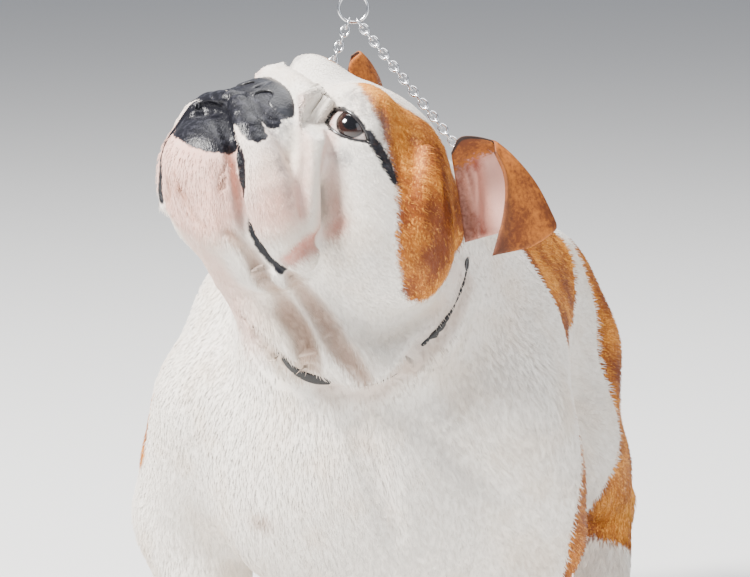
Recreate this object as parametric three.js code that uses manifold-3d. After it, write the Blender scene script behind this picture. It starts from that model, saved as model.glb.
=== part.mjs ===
// An english bulldog, life size, standing on four feet with its head raised and turned to its right.
// Millimetres. X points to the dog's left, -Y is forward and Z is up. The soles stand on Z = 0.
import * as THREE from 'three';
import { MarchingCubes } from 'three/addons/objects/MarchingCubes.js';
import { SimplifyModifier } from 'three/addons/modifiers/SimplifyModifier.js';
import { mergeVertices } from 'three/addons/utils/BufferGeometryUtils.js';
import Module from 'manifold-3d';

// Driving dimensions
const withers = 368;            // height over the shoulders
const shoulderSpread = 302;     // over the upper arms
const frontTrack = 206;         // between the middles of the front feet
const hindTrack = 186;          // between the middles of the hind feet
const lean = -14;               // how far the front feet stand to the dog's right
const headYaw = -34;            // degrees, turned to the dog's right
const headPitch = 37;           // degrees, nose up
const headRoll = 16;            // degrees, left ear down
const headAt = [20, -203, 408]; // middle of the skull
const eyeRadius = 16.5;
const eyeAt = [37.5, -53.3, 0]; // in the head's own frame
const lidThickness = 2.2;
const lidLine = [0.917, 0.38, 0.03];    // from the inner to the outer corner
const upperLid = 40;            // degrees that each lid opens above and below
const lowerLid = 38;
const earThickness = 4.5;
const rightEarAhead = 8;        // the right ear is pricked further forward
const strapWidth = 9;
const strapThickness = 3;
const linkLength = 9.1;         // outside
const linkWire = 1.6;
const chainLift = 7;            // off the skin where the chain leaves the strap
const ringRadius = 10;          // top ring, to the middle of its wire
const ringWire = 2;
const gap = 0.3;                // left between touching nodes

const wasm = await Module();
wasm.setup();

// Soft shapes: each is a function of a point that gives its distance to the surface, negative inside

function egg(at, size, turn = [0, 0, 0]) {
  const angles = turn.map(THREE.MathUtils.degToRad);
  const back = new THREE.Matrix4().makeRotationFromEuler(new THREE.Euler(...angles)).transpose().elements;
  const [a, b, c] = size;
  return (x, y, z) => {
    const u = x - at[0], v = y - at[1], w = z - at[2];
    const p = (back[0] * u + back[4] * v + back[8] * w) / a;
    const q = (back[1] * u + back[5] * v + back[9] * w) / b;
    const r = (back[2] * u + back[6] * v + back[10] * w) / c;
    const k = Math.hypot(p, q, r);
    return k * (k - 1) / Math.max(Math.hypot(p / a, q / b, r / c), 1e-6);
  };
}

// A rope runs on a smooth curve through its stations, each a place and a radius.
function rope(stations, steps = 10) {
  const curve = new THREE.CatmullRomCurve3(stations.map((s) => new THREE.Vector3(s[0], s[1], s[2])));
  const beads = curve.getPoints(steps).map((p, i) => {
    const along = i / steps * (stations.length - 1);
    const k = Math.min(Math.floor(along), stations.length - 2);
    return [p.x, p.y, p.z, THREE.MathUtils.lerp(stations[k][3], stations[k + 1][3], along - k)];
  });
  return (x, y, z) => {
    let nearest = Infinity;
    for (let i = 0; i < steps; i++) {
      const [ax, ay, az, ar] = beads[i];
      const bx = beads[i + 1][0] - ax, by = beads[i + 1][1] - ay, bz = beads[i + 1][2] - az;
      const length2 = bx * bx + by * by + bz * bz;
      const t = Math.min(Math.max(((x - ax) * bx + (y - ay) * by + (z - az) * bz) / length2, 0), 1);
      const reach = Math.hypot(x - ax - t * bx, y - ay - t * by, z - az - t * bz);
      nearest = Math.min(nearest, reach - ar - t * (beads[i + 1][3] - ar));
    }
    return nearest;
  };
}

// Clay is built up and cut away shape by shape, each melting into the last over a soft width.
class Clay {
  constructor() {
    this.layers = [];
  }

  add(shape, soft = 12) {
    this.layers.push({ shape, soft, sign: 1 });
    return this;
  }

  carve(shape, soft = 4) {
    this.layers.push({ shape, soft, sign: -1 });
    return this;
  }

  distance(x, y, z) {
    let d = 1e3;
    for (const { shape, soft, sign } of this.layers) {
      const a = sign * d, b = shape(x, y, z);
      const h = Math.max(soft - Math.abs(a - b), 0) / Math.max(soft, 1e-6);
      d = sign * (Math.min(a, b) - h * h * soft / 4);
    }
    return d;
  }
}

// Head, in its own frame: X to its left, -Y out of the muzzle. The halves are alike but for the right flew.

function headClay() {
  return new Clay()
    .add(egg([0, -4, -6], [66, 59, 51]), 0)                      // braincase
    .add(egg([0, -38, -14], [66, 44, 44]), 20)                   // face between the cheekbones
    .add(egg([54, 8, -40], [36, 54, 46]), 22)                    // cheek muscle
    .add(egg([32, -50, 14], [25, 24, 21]), 12)                   // brow
    .add(egg([0, -82, -34], [44, 33, 28]), 12)                   // short upper muzzle
    .add(rope([[0, -62, -82, 36], [0, -24, -88, 42], [0, 30, -84, 52]]), 24)    // under the jaw
    .add(rope([[22, -74, -84, 28], [36, -48, -88, 32]]), 16)      // lower jaw
    .add(egg([0, -89, -70], [40, 39, 34]), 14)                   // chin
    .add(rope([[6, -111, -33, 10], [28, -103, -47, 16], [46, -84, -64, 20], [57, -62, -78, 19],
      [62, -44, -83, 14]]), 3)                                   // flew
    .add(rope([[0, -86, 0, 11], [20, -86, -2, 11], [36, -79, -14, 12], [50, -70, -40, 12],
      [60, -54, -66, 12]]), 6)                                   // roll beside the nose
    .add(egg([0, -90, -18], [30, 15, 16]), 4)                    // nose
    .add(rope([[60, -20, 38, 5], [77, -2, 0, 9], [79, 10, -40, 11]]), 16)       // fold before the ear
    .carve(egg([49, -72, 2], [17, 11, 12]), 8)                   // eye socket
    .carve(rope([[0, -118.5, -42.5, 4], [13, -118, -47, 4], [29, -109.5, -58, 4], [42, -92, -78, 4],
      [56, -68, -98, 4], [61, -55, -102, 4]]), 8)                // line of the mouth
    .carve(rope([[0, -80, 24, 2], [0, -30, 54, 3]]), 14);        // furrow up the forehead
}

// The right flew hangs lower, as the head is tipped to the left
const rightFlew = rope([[-24, -114, -52, 8], [-37, -102, -80, 8], [-40, -90, -94, 8], [-42, -76, -106, 7]]);

// Trunk and legs, in the dog's frame

const shoulderX = shoulderSpread / 2 - 66;

function trunkClay() {
  return new Clay()
    .add(egg([0, -70, withers - 130], [120, 165, 128]), 0)       // rib cage
    .add(egg([0, -160, 206], [112, 86, 112]), 40)                // breast
    .add(egg([0, 60, 266], [96, 150, 98]), 40)                   // loin and belly
    .add(egg([0, 150, 250], [92, 88, 84]), 30)                   // croup
    .add(egg([0, -125, 318], [88, 85, 54]), 30)                  // withers
    .add(egg([shoulderX, -128, 258], [50, 64, 92], [-12, -6, 0]), 26)       // shoulder blade
    .add(egg([59, 160, 226], [40, 70, 87], [14, 0, 0]), 26);     // thigh
}

const frontPaw = (side) => side * frontTrack / 2 + lean;

function frontLeg(side) {
  const x = frontPaw(side);
  const elbow = side * 115 + lean;
  return new Clay()
    .add(rope([[side * 98, -165, 235, 46], [side * 110 + lean * 0.4, -140, 190, 46], [elbow, -120, 148, 45]]), 0)
    .add(rope([[elbow, -120, 150, 43], [x + side * 3, -130, 100, 34], [x, -138, 52, 29]]), 10)
    .add(egg([x, -150, 24], [33, 36, 28]), 12)
    .add(paw(x, -160, 14), 6);
}

function hindLeg(side) {
  const x = side * hindTrack / 2;
  return new Clay()
    .add(rope([[side * 66, 150, 225, 50], [side * 78, 125, 182, 44], [side * 86, 158, 145, 38],
      [side * 92, 205, 108, 24]]), 0)
    .add(rope([[side * 92, 208, 106, 23], [x, 200, 60, 23], [x, 188, 30, 23]]), 10)
    .add(egg([x, 177, 22], [29, 33, 26]), 10)
    .add(paw(x, 166, 12.5), 6);
}

// Four toes in a fan
function paw(x, y, toe) {
  const toes = [-1.5, -0.5, 0.5, 1.5].map((k) => rope([
    [x + k * toe * 0.95, y, toe + 6, toe * 0.85],
    [x + k * toe * 1.2, y - 22 + k * k * 4, toe - 3, toe]], 3));
  return (x1, y1, z1) => Math.min(...toes.map((t) => t(x1, y1, z1)));
}

const tailClay = rope([[0, 212, 300, 22], [0, 244, 290, 17], [4, 260, 270, 13], [4, 266, 248, 9], [2, 268, 232, 5]]);

// The neck, its throat folds and the whole skin

const headTurn = new THREE.Matrix4().makeRotationFromEuler(new THREE.Euler(
  THREE.MathUtils.degToRad(-headPitch), THREE.MathUtils.degToRad(headRoll),
  THREE.MathUtils.degToRad(headYaw), 'ZXY'));
const headFrame = new THREE.Matrix4().makeTranslation(...headAt).multiply(headTurn);
const intoHead = headFrame.clone().invert().elements;

function neckClay() {
  return new Clay()
    .add(rope([[0, -95, 300, 90], [6, -145, 338, 82], [18, -178, 364, 62]]), 0)
    .add(rope([[-22, -215, 350, 60], [-8, -205, 300, 60]]), 30)
    .add(rope([[-52, -254, 338, 16], [-32, -260, 308, 19], [-14, -257, 286, 18], [-6, -248, 278, 13]]), 10)
    .add(rope([[-14, -256, 332, 18], [6, -256, 300, 21], [24, -249, 282, 21], [46, -236, 284, 20],
      [66, -214, 302, 18], [75, -196, 326, 14]]), 10);
}

// A part of the body with a ball that holds it, so that points far away can pass it by
const flesh = (clay, at, reach, soft) => ({ clay, at, reach, soft });
const limbs = [1, -1].flatMap((side) => [
  flesh(frontLeg(side), [side * 105, -145, 130], 190, 22),
  flesh(hindLeg(side), [side * 78, 165, 130], 190, 22),
]);
const tail = flesh({ distance: tailClay }, [0, 240, 268], 70, 14);
const neck = flesh(neckClay(), [5, -180, 340], 200, 26);
const head = headClay();
const trunk = trunkClay();

const melt = (a, b, soft) => {
  const h = Math.max(soft - Math.abs(a - b), 0) / soft;
  return Math.min(a, b) - h * h * soft / 4;
};

function skinDistance(x, y, z) {
  const m = intoHead;
  let d = trunk.distance(Math.abs(x), y, z);
  for (const { clay, at, reach, soft } of [...limbs, tail, neck]) {
    const away = Math.hypot(x - at[0], y - at[1], z - at[2]) - reach;
    if (away < soft) d = melt(d, clay.distance(x, y, z), soft);
  }
  if (Math.hypot(x - headAt[0], y - headAt[1], z - headAt[2]) > 190) return d;
  const hx = m[0] * x + m[4] * y + m[8] * z + m[12];
  const hy = m[1] * x + m[5] * y + m[9] * z + m[13];
  const hz = m[2] * x + m[6] * y + m[10] * z + m[14];
  return melt(d, melt(head.distance(Math.abs(hx), hy, hz), rightFlew(hx, hy, hz), 5), 12);
}

// Solids

const bare = (geometry) => {
  const plain = new THREE.BufferGeometry();
  plain.setAttribute('position', geometry.getAttribute('position').clone());
  if (geometry.index) plain.setIndex(geometry.index.clone());
  return mergeVertices(plain, 1e-3);
};

function solid(geometry) {
  const { attributes, index } = bare(geometry);
  return new wasm.Manifold(new wasm.Mesh({
    numProp: 3,
    vertProperties: new Float32Array(attributes.position.array),
    triVerts: new Uint32Array(index.array),
  }));
}

function surface(body) {
  const { vertProperties, triVerts } = body.getMesh();
  const geometry = new THREE.BufferGeometry();
  geometry.setAttribute('position', new THREE.BufferAttribute(vertProperties, 3));
  geometry.setIndex(new THREE.BufferAttribute(triVerts, 1));
  return geometry;
}

// The largest closed piece
const largest = (body) => body.decompose().sort((a, b) => b.volume() - a.volume())[0];

// The skin inside a box, meshed on a grid and thinned to about so many triangles
async function skinSolid(low, high, cells, triangles) {
  const cubes = new MarchingCubes(cells, new THREE.MeshStandardMaterial(), false, false, 8 * cells * cells);
  const middle = low.map((v, i) => (v + high[i]) / 2);
  const reach = low.map((v, i) => (high[i] - v) / 2);
  const place = (step, axis) => middle[axis] + reach[axis] * (2 * step / cells - 1);
  for (let k = 0; k < cells; k++) {
    for (let j = 0; j < cells; j++) {
      for (let i = 0; i < cells; i++) {
        const inside = -skinDistance(place(i, 0), place(j, 1), place(k, 2));
        const closed = Math.min(i, j, k) < 3 || Math.max(i, j, k) > cells - 5;
        cubes.field[(k * cells + j) * cells + i] = closed ? Math.min(inside, -1) : inside;
      }
    }
  }
  cubes.isolation = 0;
  cubes.update();
  const shell = new THREE.BufferGeometry();
  const corners = cubes.positionArray.slice(0, cubes.count * 3);
  shell.setAttribute('position', new THREE.BufferAttribute(corners, 3));
  shell.scale(...reach).translate(...middle);
  const merged = withoutSlivers(bare(shell));
  const keep = Math.min(1, triangles / (merged.index.count / 3));
  return largest(solid(await new SimplifyModifier().modify(merged, merged.attributes.position.count * (1 - keep))));
}

// Merging corners can flatten a triangle to a line, and such ones are dropped.
function withoutSlivers(geometry) {
  const kept = [];
  const { array } = geometry.index;
  for (let i = 0; i < array.length; i += 3) {
    const [a, b, c] = array.slice(i, i + 3);
    if (a !== b && b !== c && c !== a) kept.push(a, b, c);
  }
  geometry.setIndex(kept);
  return geometry;
}

// Everything beyond a plane, short of it by half a gap
function beyond(point, normal) {
  const block = new THREE.BoxGeometry(2000, 2000, 1000).translate(0, 0, 500 + gap / 2);
  const turn = new THREE.Quaternion().setFromUnitVectors(
    new THREE.Vector3(0, 0, 1), new THREE.Vector3(...normal).normalize());
  return solid(block.applyQuaternion(turn).translate(...point));
}

const opposite = (normal) => normal.map((v) => -v);
const inHead = (geometry) => geometry.applyMatrix4(headFrame);
const headPoint = (p) => new THREE.Vector3(...p).applyMatrix4(headFrame).toArray();
const headDirection = (p) => new THREE.Vector3(...p).transformDirection(headFrame).toArray();

// Planes that part the nodes
const nape = { at: headPoint([0, 48, -35]), normal: headDirection([0, -0.8, 0.6]) };
const collarbone = { at: [0, -150, 322], normal: [0, -0.6, 0.8] };
const tailRoot = { at: [0, 236, 285], normal: [0, 0.95, 0.31] };

const floorUp = beyond([0, 0, -gap / 2], [0, 0, 1]);
const headSkin = await skinSolid([-150, -370, 240], [170, -60, 520], 92, 4100);
const bodySkin = (await skinSolid([-200, -330, -40], [200, 310, 450], 84, 4000)).intersect(floorUp);

const forward = largest(headSkin.intersect(beyond(nape.at, nape.normal)));
const behind = bodySkin.intersect(beyond(nape.at, opposite(nape.normal)));
const neckPiece = largest(behind.intersect(beyond(collarbone.at, collarbone.normal)));
const rest = behind.intersect(beyond(collarbone.at, opposite(collarbone.normal)));

// A leg is all that lies under a slanting plane on its own side.
function legRegion(side, front, clear) {
  const under = front
    ? { at: [side * 45, -150, 105], normal: [side * 0.917, 0, -1] }
    : { at: [side * 66, 150, 206], normal: [side * 1.375, 0.84, -1] };
  const reach = front ? [-400, -20] : [20, 400];
  const room = new THREE.BoxGeometry(400, reach[1] - reach[0], 400)
    .translate(side * (200 + clear), (reach[0] + reach[1]) / 2, 200 - 50);
  const shift = new THREE.Vector3(...under.normal).normalize().multiplyScalar(clear - gap / 2);
  return solid(room).intersect(beyond(under.at.map((v, i) => v + shift.getComponent(i)), under.normal));
}

let trunkPiece = rest.intersect(beyond(tailRoot.at, opposite(tailRoot.normal)));
const legs = {};
for (const side of [1, -1]) {
  for (const front of [true, false]) {
    const name = `${front ? 'front' : 'hind'}_${side > 0 ? 'left' : 'right'}_leg`;
    legs[name] = largest(rest.intersect(legRegion(side, front, gap)));
    trunkPiece = trunkPiece.subtract(legRegion(side, front, 0));
  }
}
trunkPiece = largest(trunkPiece);
const tailPiece = largest(rest.intersect(beyond(tailRoot.at, tailRoot.normal)));

// Eyes and lids. The lids are a thicker ball over the eyeball, open between two planes that meet at its corners.

const ball = (radius, at) => new THREE.SphereGeometry(radius, 16, 10).translate(...at);
const mirrored = (p, side) => [side * p[0], p[1], p[2]];

function lidOpening(side) {
  const wedge = new THREE.Shape([
    new THREE.Vector2(0, 0),
    new THREE.Vector2(40, 40 * Math.tan(THREE.MathUtils.degToRad(upperLid))),
    new THREE.Vector2(40, -40 * Math.tan(THREE.MathUtils.degToRad(lowerLid))),
  ]);
  const opening = new THREE.ExtrudeGeometry(wedge, { depth: 50, bevelEnabled: false }).translate(5, 0, -25);
  const across = new THREE.Vector3(side * lidLine[0], lidLine[1], lidLine[2]).normalize();
  const outward = new THREE.Vector3().crossVectors(across, new THREE.Vector3(0, 0, side)).normalize();
  const up = new THREE.Vector3().crossVectors(outward, across).multiplyScalar(-1);
  if (up.z < 0) up.negate();
  const axes = new THREE.Matrix4().makeBasis(outward, up, new THREE.Vector3().crossVectors(outward, up));
  return solid(inHead(opening.applyMatrix4(axes).translate(...mirrored(eyeAt, side))));
}

let headPiece = forward;
const eyes = {};
for (const side of [1, -1]) {
  const at = mirrored(eyeAt, side);
  headPiece = headPiece
    .add(solid(inHead(ball(eyeRadius + lidThickness, at))))
    .subtract(lidOpening(side))
    .subtract(solid(inHead(ball(eyeRadius + gap, at))));
  eyes[side > 0 ? 'left_eye' : 'right_eye'] = solid(inHead(ball(eyeRadius, at)));
}

// Nose, a lens of the muzzle with two comma-shaped nostrils

const noseLens = (grow) => solid(inHead(new THREE.SphereGeometry(1, 20, 12)
  .scale(31 + grow, 18 + grow, 16 + grow).translate(0, -93, -19)));
let nosePiece = headPiece.intersect(noseLens(0));
headPiece = largest(headPiece.subtract(noseLens(gap)));
for (const side of [1, -1]) {
  const hole = new THREE.SphereGeometry(1, 8, 6).scale(4, 9, 4)
    .rotateZ(side * 0.4).translate(side * 12, -103, -18);
  const slit = new THREE.SphereGeometry(1, 8, 6).scale(8, 8, 1.5)
    .rotateY(side * 0.6).translate(side * 20, -98, -22);
  nosePiece = nosePiece.subtract(solid(inHead(hole)).add(solid(inHead(slit))));
}
nosePiece = largest(nosePiece);

// Ears. Each is a sheet from its root on the skull up to a ridge, then folded over and down to its free edge.

const earRoot = [[62, 0, 30], [60, 14, 22], [64, 34, 6], [74, 50, -18]];
const earWall = [[68, -6, 41], [68, 24, 42], [74, 44, 26], [86, 60, 4]];
const earRidge = [[76, 10, 52], [82, 24, 52], [90, 47, 48], [101, 74, 36]];
const earFlap = [[79, 11, 50], [88, 26, 44], [97, 46, 32], [106, 66, 18]];
const earEdge = [[82, 12, 47], [91, 24, 38], [97, 36, 20], [103, 46, -6]];

function earPiece(side, ahead) {
  const along = (stations, t) => new THREE.CatmullRomCurve3(
    stations.map((p) => new THREE.Vector3(...p))).getPoint(t);
  const sheet = (s, t) => {
    const across = [earRoot, earWall, earRidge, earFlap, earEdge].map((line) => along(line, s));
    return new THREE.CatmullRomCurve3(across).getPoint(t);
  };
  const geometry = new THREE.BoxGeometry(1, 1, 1, 9, 10, 1);
  const place = geometry.getAttribute('position');
  for (let i = 0; i < place.count; i++) {
    const s = place.getX(i) + 0.5, t = place.getY(i) + 0.5;
    const e = 0.02;
    const p = sheet(s, t);
    const ds = sheet(Math.min(s + e, 1), t).sub(sheet(Math.max(s - e, 0), t));
    const dt = sheet(s, Math.min(t + e, 1)).sub(sheet(s, Math.max(t - e, 0)));
    const normal = ds.cross(dt).normalize();
    const thickness = THREE.MathUtils.lerp(earThickness, earThickness * 0.6, t);
    p.addScaledVector(normal, place.getZ(i) * thickness);
    p.y -= ahead * THREE.MathUtils.smoothstep(t, 0, 0.6);
    place.setXYZ(i, side * p.x, p.y, p.z);
  }
  const ear = bare(geometry);
  if (side < 0) ear.setIndex([...ear.index.array].reverse());
  return clearOf(solid(inHead(ear)), headPiece);
}

// What is left of a piece that keeps its gap to another on every side
function clearOf(piece, other) {
  const shifts = [[gap, 0, 0], [-gap, 0, 0], [0, gap, 0], [0, -gap, 0], [0, 0, gap], [0, 0, -gap]];
  return largest(shifts.reduce((left, shift) => left.subtract(other.translate(shift)), piece));
}
const ears = { left_ear: earPiece(1, 0), right_ear: earPiece(-1, rightEarAhead) };

// Claws, one at the tip of each toe and fused to it

function withClaws(leg, x, y, toe) {
  let clawed = leg;
  for (const k of [-1.5, -0.5, 0.5, 1.5]) {
    const claw = new THREE.ConeGeometry(toe * 0.23, toe, 7).rotateX(Math.PI * 0.66)
      .translate(x + k * toe * 1.25, y - 22 + k * k * 4 - toe * 1.12, toe * 0.82);
    clawed = clawed.add(solid(claw));
  }
  return largest(clawed);
}
for (const side of [1, -1]) {
  const front = side > 0 ? 'front_left_leg' : 'front_right_leg';
  const hind = side > 0 ? 'hind_left_leg' : 'hind_right_leg';
  legs[front] = withClaws(legs[front], frontPaw(side), -160, 14);
  legs[hind] = withClaws(legs[hind], side * hindTrack / 2, 166, 12.5);
}

// Collar. A strap lies round the throat in one slanting plane, and a chain rises from each end to a ring.

const loopMiddle = new THREE.Vector3(0, -175, 325);
const loopNormal = new THREE.Vector3(0, -0.605, 0.796);
const strapStations = [
  [66, -112, 383], [78, -142, 368], [80, -172, 347], [83, -198, 330], [79, -211, 315], [71, -224, 301],
  [60, -236, 289], [50, -246, 280], [34, -253, 272], [11, -248, 270], [-7, -256, 271],
  [-17, -264, 278], [-27, -267, 290], [-39, -266, 304], [-54, -259, 320], [-67, -240, 328],
  [-73, -209, 337], [-73, -164, 351], [-61, -117, 376],
];
const ringAt = new THREE.Vector3(-29, -73, 498);

const strapPath = new THREE.CatmullRomCurve3(strapStations.map((p) => new THREE.Vector3(...p)));

function strap(clear) {
  const band = new THREE.BoxGeometry(1, 1, 1, 44, 1, 1);
  const place = band.getAttribute('position');
  for (let i = 0; i < place.count; i++) {
    const along = THREE.MathUtils.clamp(place.getX(i) + 0.5, 0, 1);
    const out = new THREE.Vector3().crossVectors(strapPath.getTangent(along), loopNormal);
    const p = strapPath.getPoint(along)
      .addScaledVector(out, place.getY(i) * (strapThickness + 2 * clear))
      .addScaledVector(loopNormal, place.getZ(i) * (strapWidth + 2 * clear));
    place.setXYZ(i, p.x, p.y, p.z);
  }
  const body = solid(band);
  return body.volume() < 0 ? solid(band.setIndex([...band.index.array].reverse())) : body;
}

// A row of links from one place to another, each turned a quarter from the last
function chain(from, to) {
  const run = to.clone().sub(from);
  const pitch = linkLength - 2 * linkWire - 0.2;
  const count = Math.round((run.length() - linkLength) / pitch) + 1;
  const step = run.clone().multiplyScalar((run.length() - linkLength) / run.length() / (count - 1));
  const start = from.clone().addScaledVector(run.clone().normalize(), linkLength / 2);
  const radius = linkLength * 0.39 - linkWire / 2;
  const upright = new THREE.Quaternion().setFromUnitVectors(new THREE.Vector3(0, 1, 0), run.normalize());
  const links = [];
  for (let i = 0; i < count; i++) {
    const link = new THREE.TorusGeometry(radius, linkWire / 2, 4, 8)
      .scale(1, (linkLength - linkWire) / 2 / radius, 1)
      .rotateY((count - 1 - i) % 2 ? 0 : Math.PI / 2)
      .applyQuaternion(upright)
      .translate(...start.clone().addScaledVector(step, i));
    links.push(solid(link));
  }
  return wasm.Manifold.union(links);
}

const band = strap(gap);
headPiece = largest(headPiece.subtract(band));
const collared = {
  neck: largest(neckPiece.subtract(band)),
  torso: largest(trunkPiece.subtract(band)),
};
const ringFrame = new THREE.Matrix4().makeRotationFromEuler(new THREE.Euler(Math.PI / 2 - 0.14, 0, 0.26, 'ZXY'))
  .setPosition(ringAt);
const ring = solid(new THREE.TorusGeometry(ringRadius, ringWire / 2, 6, 20).applyMatrix4(ringFrame));
const ends = { left_chain: strapPath.getPoint(0), right_chain: strapPath.getPoint(1) };
const chains = {};
let strapPiece = strap(0);
for (const [name, end] of Object.entries(ends)) {
  const out = end.clone().sub(loopMiddle).setLength(chainLift);
  const foot = end.clone().add(out);
  const wire = new THREE.Vector3(Math.sign(end.x) * 3.4, -ringRadius * 0.94, 0).applyMatrix4(ringFrame);
  const past = wire.clone().sub(foot).setLength(ringWire / 2 + linkWire + 0.6);
  chains[name] = chain(foot, wire.add(past));
  strapPiece = clearOf(strapPiece, chains[name]);
}

// The object

const bulldog = new THREE.Group();

function addNode(name, body, colour, roughness, metalness = 0) {
  const mesh = new THREE.Mesh(surface(body), new THREE.MeshStandardMaterial({ color: colour, roughness, metalness }));
  mesh.name = name;
  bulldog.add(mesh);
}

const coatWhite = 0xe9e2d8;
addNode('head', headPiece, coatWhite, 0.85);
addNode('neck', collared.neck, coatWhite, 0.85);
addNode('torso', collared.torso, coatWhite, 0.85);
for (const [name, piece] of Object.entries(legs)) addNode(name, piece, coatWhite, 0.85);
addNode('tail', tailPiece, coatWhite, 0.85);
for (const [name, piece] of Object.entries(ears)) addNode(name, piece, 0x8f4a22, 0.8);
for (const [name, piece] of Object.entries(eyes)) addNode(name, piece, 0x2c1a12, 0.1);
addNode('nose', nosePiece, 0x2b2a2e, 0.45);
addNode('collar_strap', strapPiece, 0x1b1b1d, 0.6);
addNode('collar_ring', ring, 0xb9bcc0, 0.25, 1);
for (const [name, piece] of Object.entries(chains)) addNode(name, piece, 0xb9bcc0, 0.25, 1);

// The origin lies on the floor in the middle of the footprint.
const footprint = new THREE.Box3().setFromObject(bulldog).getCenter(new THREE.Vector3());
bulldog.position.set(-footprint.x, -footprint.y, 0);

export default bulldog;
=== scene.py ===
import math

import bpy
import numpy as np
import openvdb
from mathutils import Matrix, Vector


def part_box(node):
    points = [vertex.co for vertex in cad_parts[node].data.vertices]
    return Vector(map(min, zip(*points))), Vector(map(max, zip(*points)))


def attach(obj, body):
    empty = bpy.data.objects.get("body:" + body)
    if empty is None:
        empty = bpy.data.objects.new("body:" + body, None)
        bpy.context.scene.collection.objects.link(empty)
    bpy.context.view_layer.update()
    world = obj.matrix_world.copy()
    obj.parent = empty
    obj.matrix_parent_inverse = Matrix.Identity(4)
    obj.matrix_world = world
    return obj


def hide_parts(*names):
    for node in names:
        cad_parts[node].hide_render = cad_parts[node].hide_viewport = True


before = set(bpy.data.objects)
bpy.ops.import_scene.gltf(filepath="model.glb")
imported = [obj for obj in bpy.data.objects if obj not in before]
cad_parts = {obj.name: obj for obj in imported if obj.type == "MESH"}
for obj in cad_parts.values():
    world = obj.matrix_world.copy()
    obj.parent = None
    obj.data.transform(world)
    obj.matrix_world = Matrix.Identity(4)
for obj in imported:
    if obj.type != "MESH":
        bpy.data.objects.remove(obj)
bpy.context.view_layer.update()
bpy.ops.object.select_all(action="DESELECT")

# An english bulldog, life size. Shapes are worked out in millimetres in the dog's own frame:
# X to its left, -Y forward, Z up. The head has a frame of its own, turned and tipped on the neck.


def turnX(degrees):
    c, s = math.cos(math.radians(degrees)), math.sin(math.radians(degrees))
    return np.array([[1, 0, 0], [0, c, -s], [0, s, c]])


def turnY(degrees):
    c, s = math.cos(math.radians(degrees)), math.sin(math.radians(degrees))
    return np.array([[c, 0, s], [0, 1, 0], [-s, 0, c]])


def turnZ(degrees):
    c, s = math.cos(math.radians(degrees)), math.sin(math.radians(degrees))
    return np.array([[c, -s, 0], [s, c, 0], [0, 0, 1]])


def unit(v):
    v = np.asarray(v, dtype=float)
    return v / np.maximum(np.linalg.norm(v, axis=-1, keepdims=True), 1e-9)


def ease(v, low, high):
    t = np.clip((v - low) / (high - low), 0, 1)
    return t * t * (3 - 2 * t)


head = dict(yaw=-34, pitch=37, roll=16, at=(20, -203, 408), reach=190)
headAt = np.array(head["at"], dtype=float)
headTurn = turnZ(head["yaw"]) @ turnX(-head["pitch"]) @ turnY(head["roll"])


def toHead(p):
    return (np.asarray(p, dtype=float) - headAt) @ headTurn


def fromHead(q):
    return np.asarray(q, dtype=float) @ headTurn.T + headAt


def mirroredX(p, side):
    return np.asarray(p, dtype=float) * (side, 1, 1)


# The eye's place in the head, the ball, the lid over it, the line between the lids, and the way it looks
eye = dict(
    at=(37.5, -53.3, 0), radius=16.5, bulge=0.07, bulgeTo=36,
    gaze=(0.60, -0.77, 0.20), farGaze=(-0.30, -0.93, 0.2),
    lid=2.2, line=(0.917, 0.38, 0.03), upper=35, lower=37, apex=5,
    pupil=(0.19, 0.22), ring=(0.32, 0.38), iris=(0.385, 0.43),
)

# The CAD model stands with its footprint's middle on the origin, so the dog's frame is shifted to it.
eyeBox = np.array(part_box("left_eye"))
shift = eyeBox.mean(axis=0) * 1000 - fromHead(eye["at"])


def place(p):
    return (np.asarray(p, dtype=float) + shift) / 1000


# Soft shapes: each gives the distance of many points to its surface, negative inside.

def egg(at, size, turn=(0, 0, 0)):
    at, size = np.array(at, dtype=float), np.array(size, dtype=float)
    back = turnX(turn[0]) @ turnY(turn[1]) @ turnZ(turn[2])

    def distance(p):
        q = (p - at) @ back / size
        k = np.linalg.norm(q, axis=1)
        return k * (k - 1) / np.maximum(np.linalg.norm(q / size, axis=1), 1e-6)
    distance.middle, distance.reach = at, size.max()
    return distance


# A point on a smooth curve through the stations, with the sizes that follow each station's place
def curveAt(stations, share):
    stations = np.asarray(stations, dtype=float)
    places = stations[:, :3]
    padded = np.vstack([2 * places[0] - places[1], places, 2 * places[-1] - places[-2]])
    along = min(max(share, 0), 1) * (len(places) - 1)
    k = min(int(along), len(places) - 2)
    t = along - k
    p0, p1, p2, p3 = padded[k:k + 4]
    d0, d1, d2 = (max(np.linalg.norm(b - a), 1e-4) ** 0.5 for a, b in ((p0, p1), (p1, p2), (p2, p3)))
    t1 = ((p1 - p0) / d0 - (p2 - p0) / (d0 + d1) + (p2 - p1) / d1) * d1
    t2 = ((p2 - p1) / d1 - (p3 - p1) / (d1 + d2) + (p3 - p2) / d2) * d1
    spot = p1 + t1 * t + (3 * (p2 - p1) - 2 * t1 - t2) * t * t + (2 * (p1 - p2) + t1 + t2) * t ** 3
    return np.array([*spot, *(stations[k, 3:] + t * (stations[k + 1, 3:] - stations[k, 3:]))])


def softCurve(stations, steps):
    return np.array([curveAt(stations, i / steps) for i in range(steps + 1)])


def thickened(stations, extra):
    return [(x, y, z, r + extra) for x, y, z, r in stations]


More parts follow.
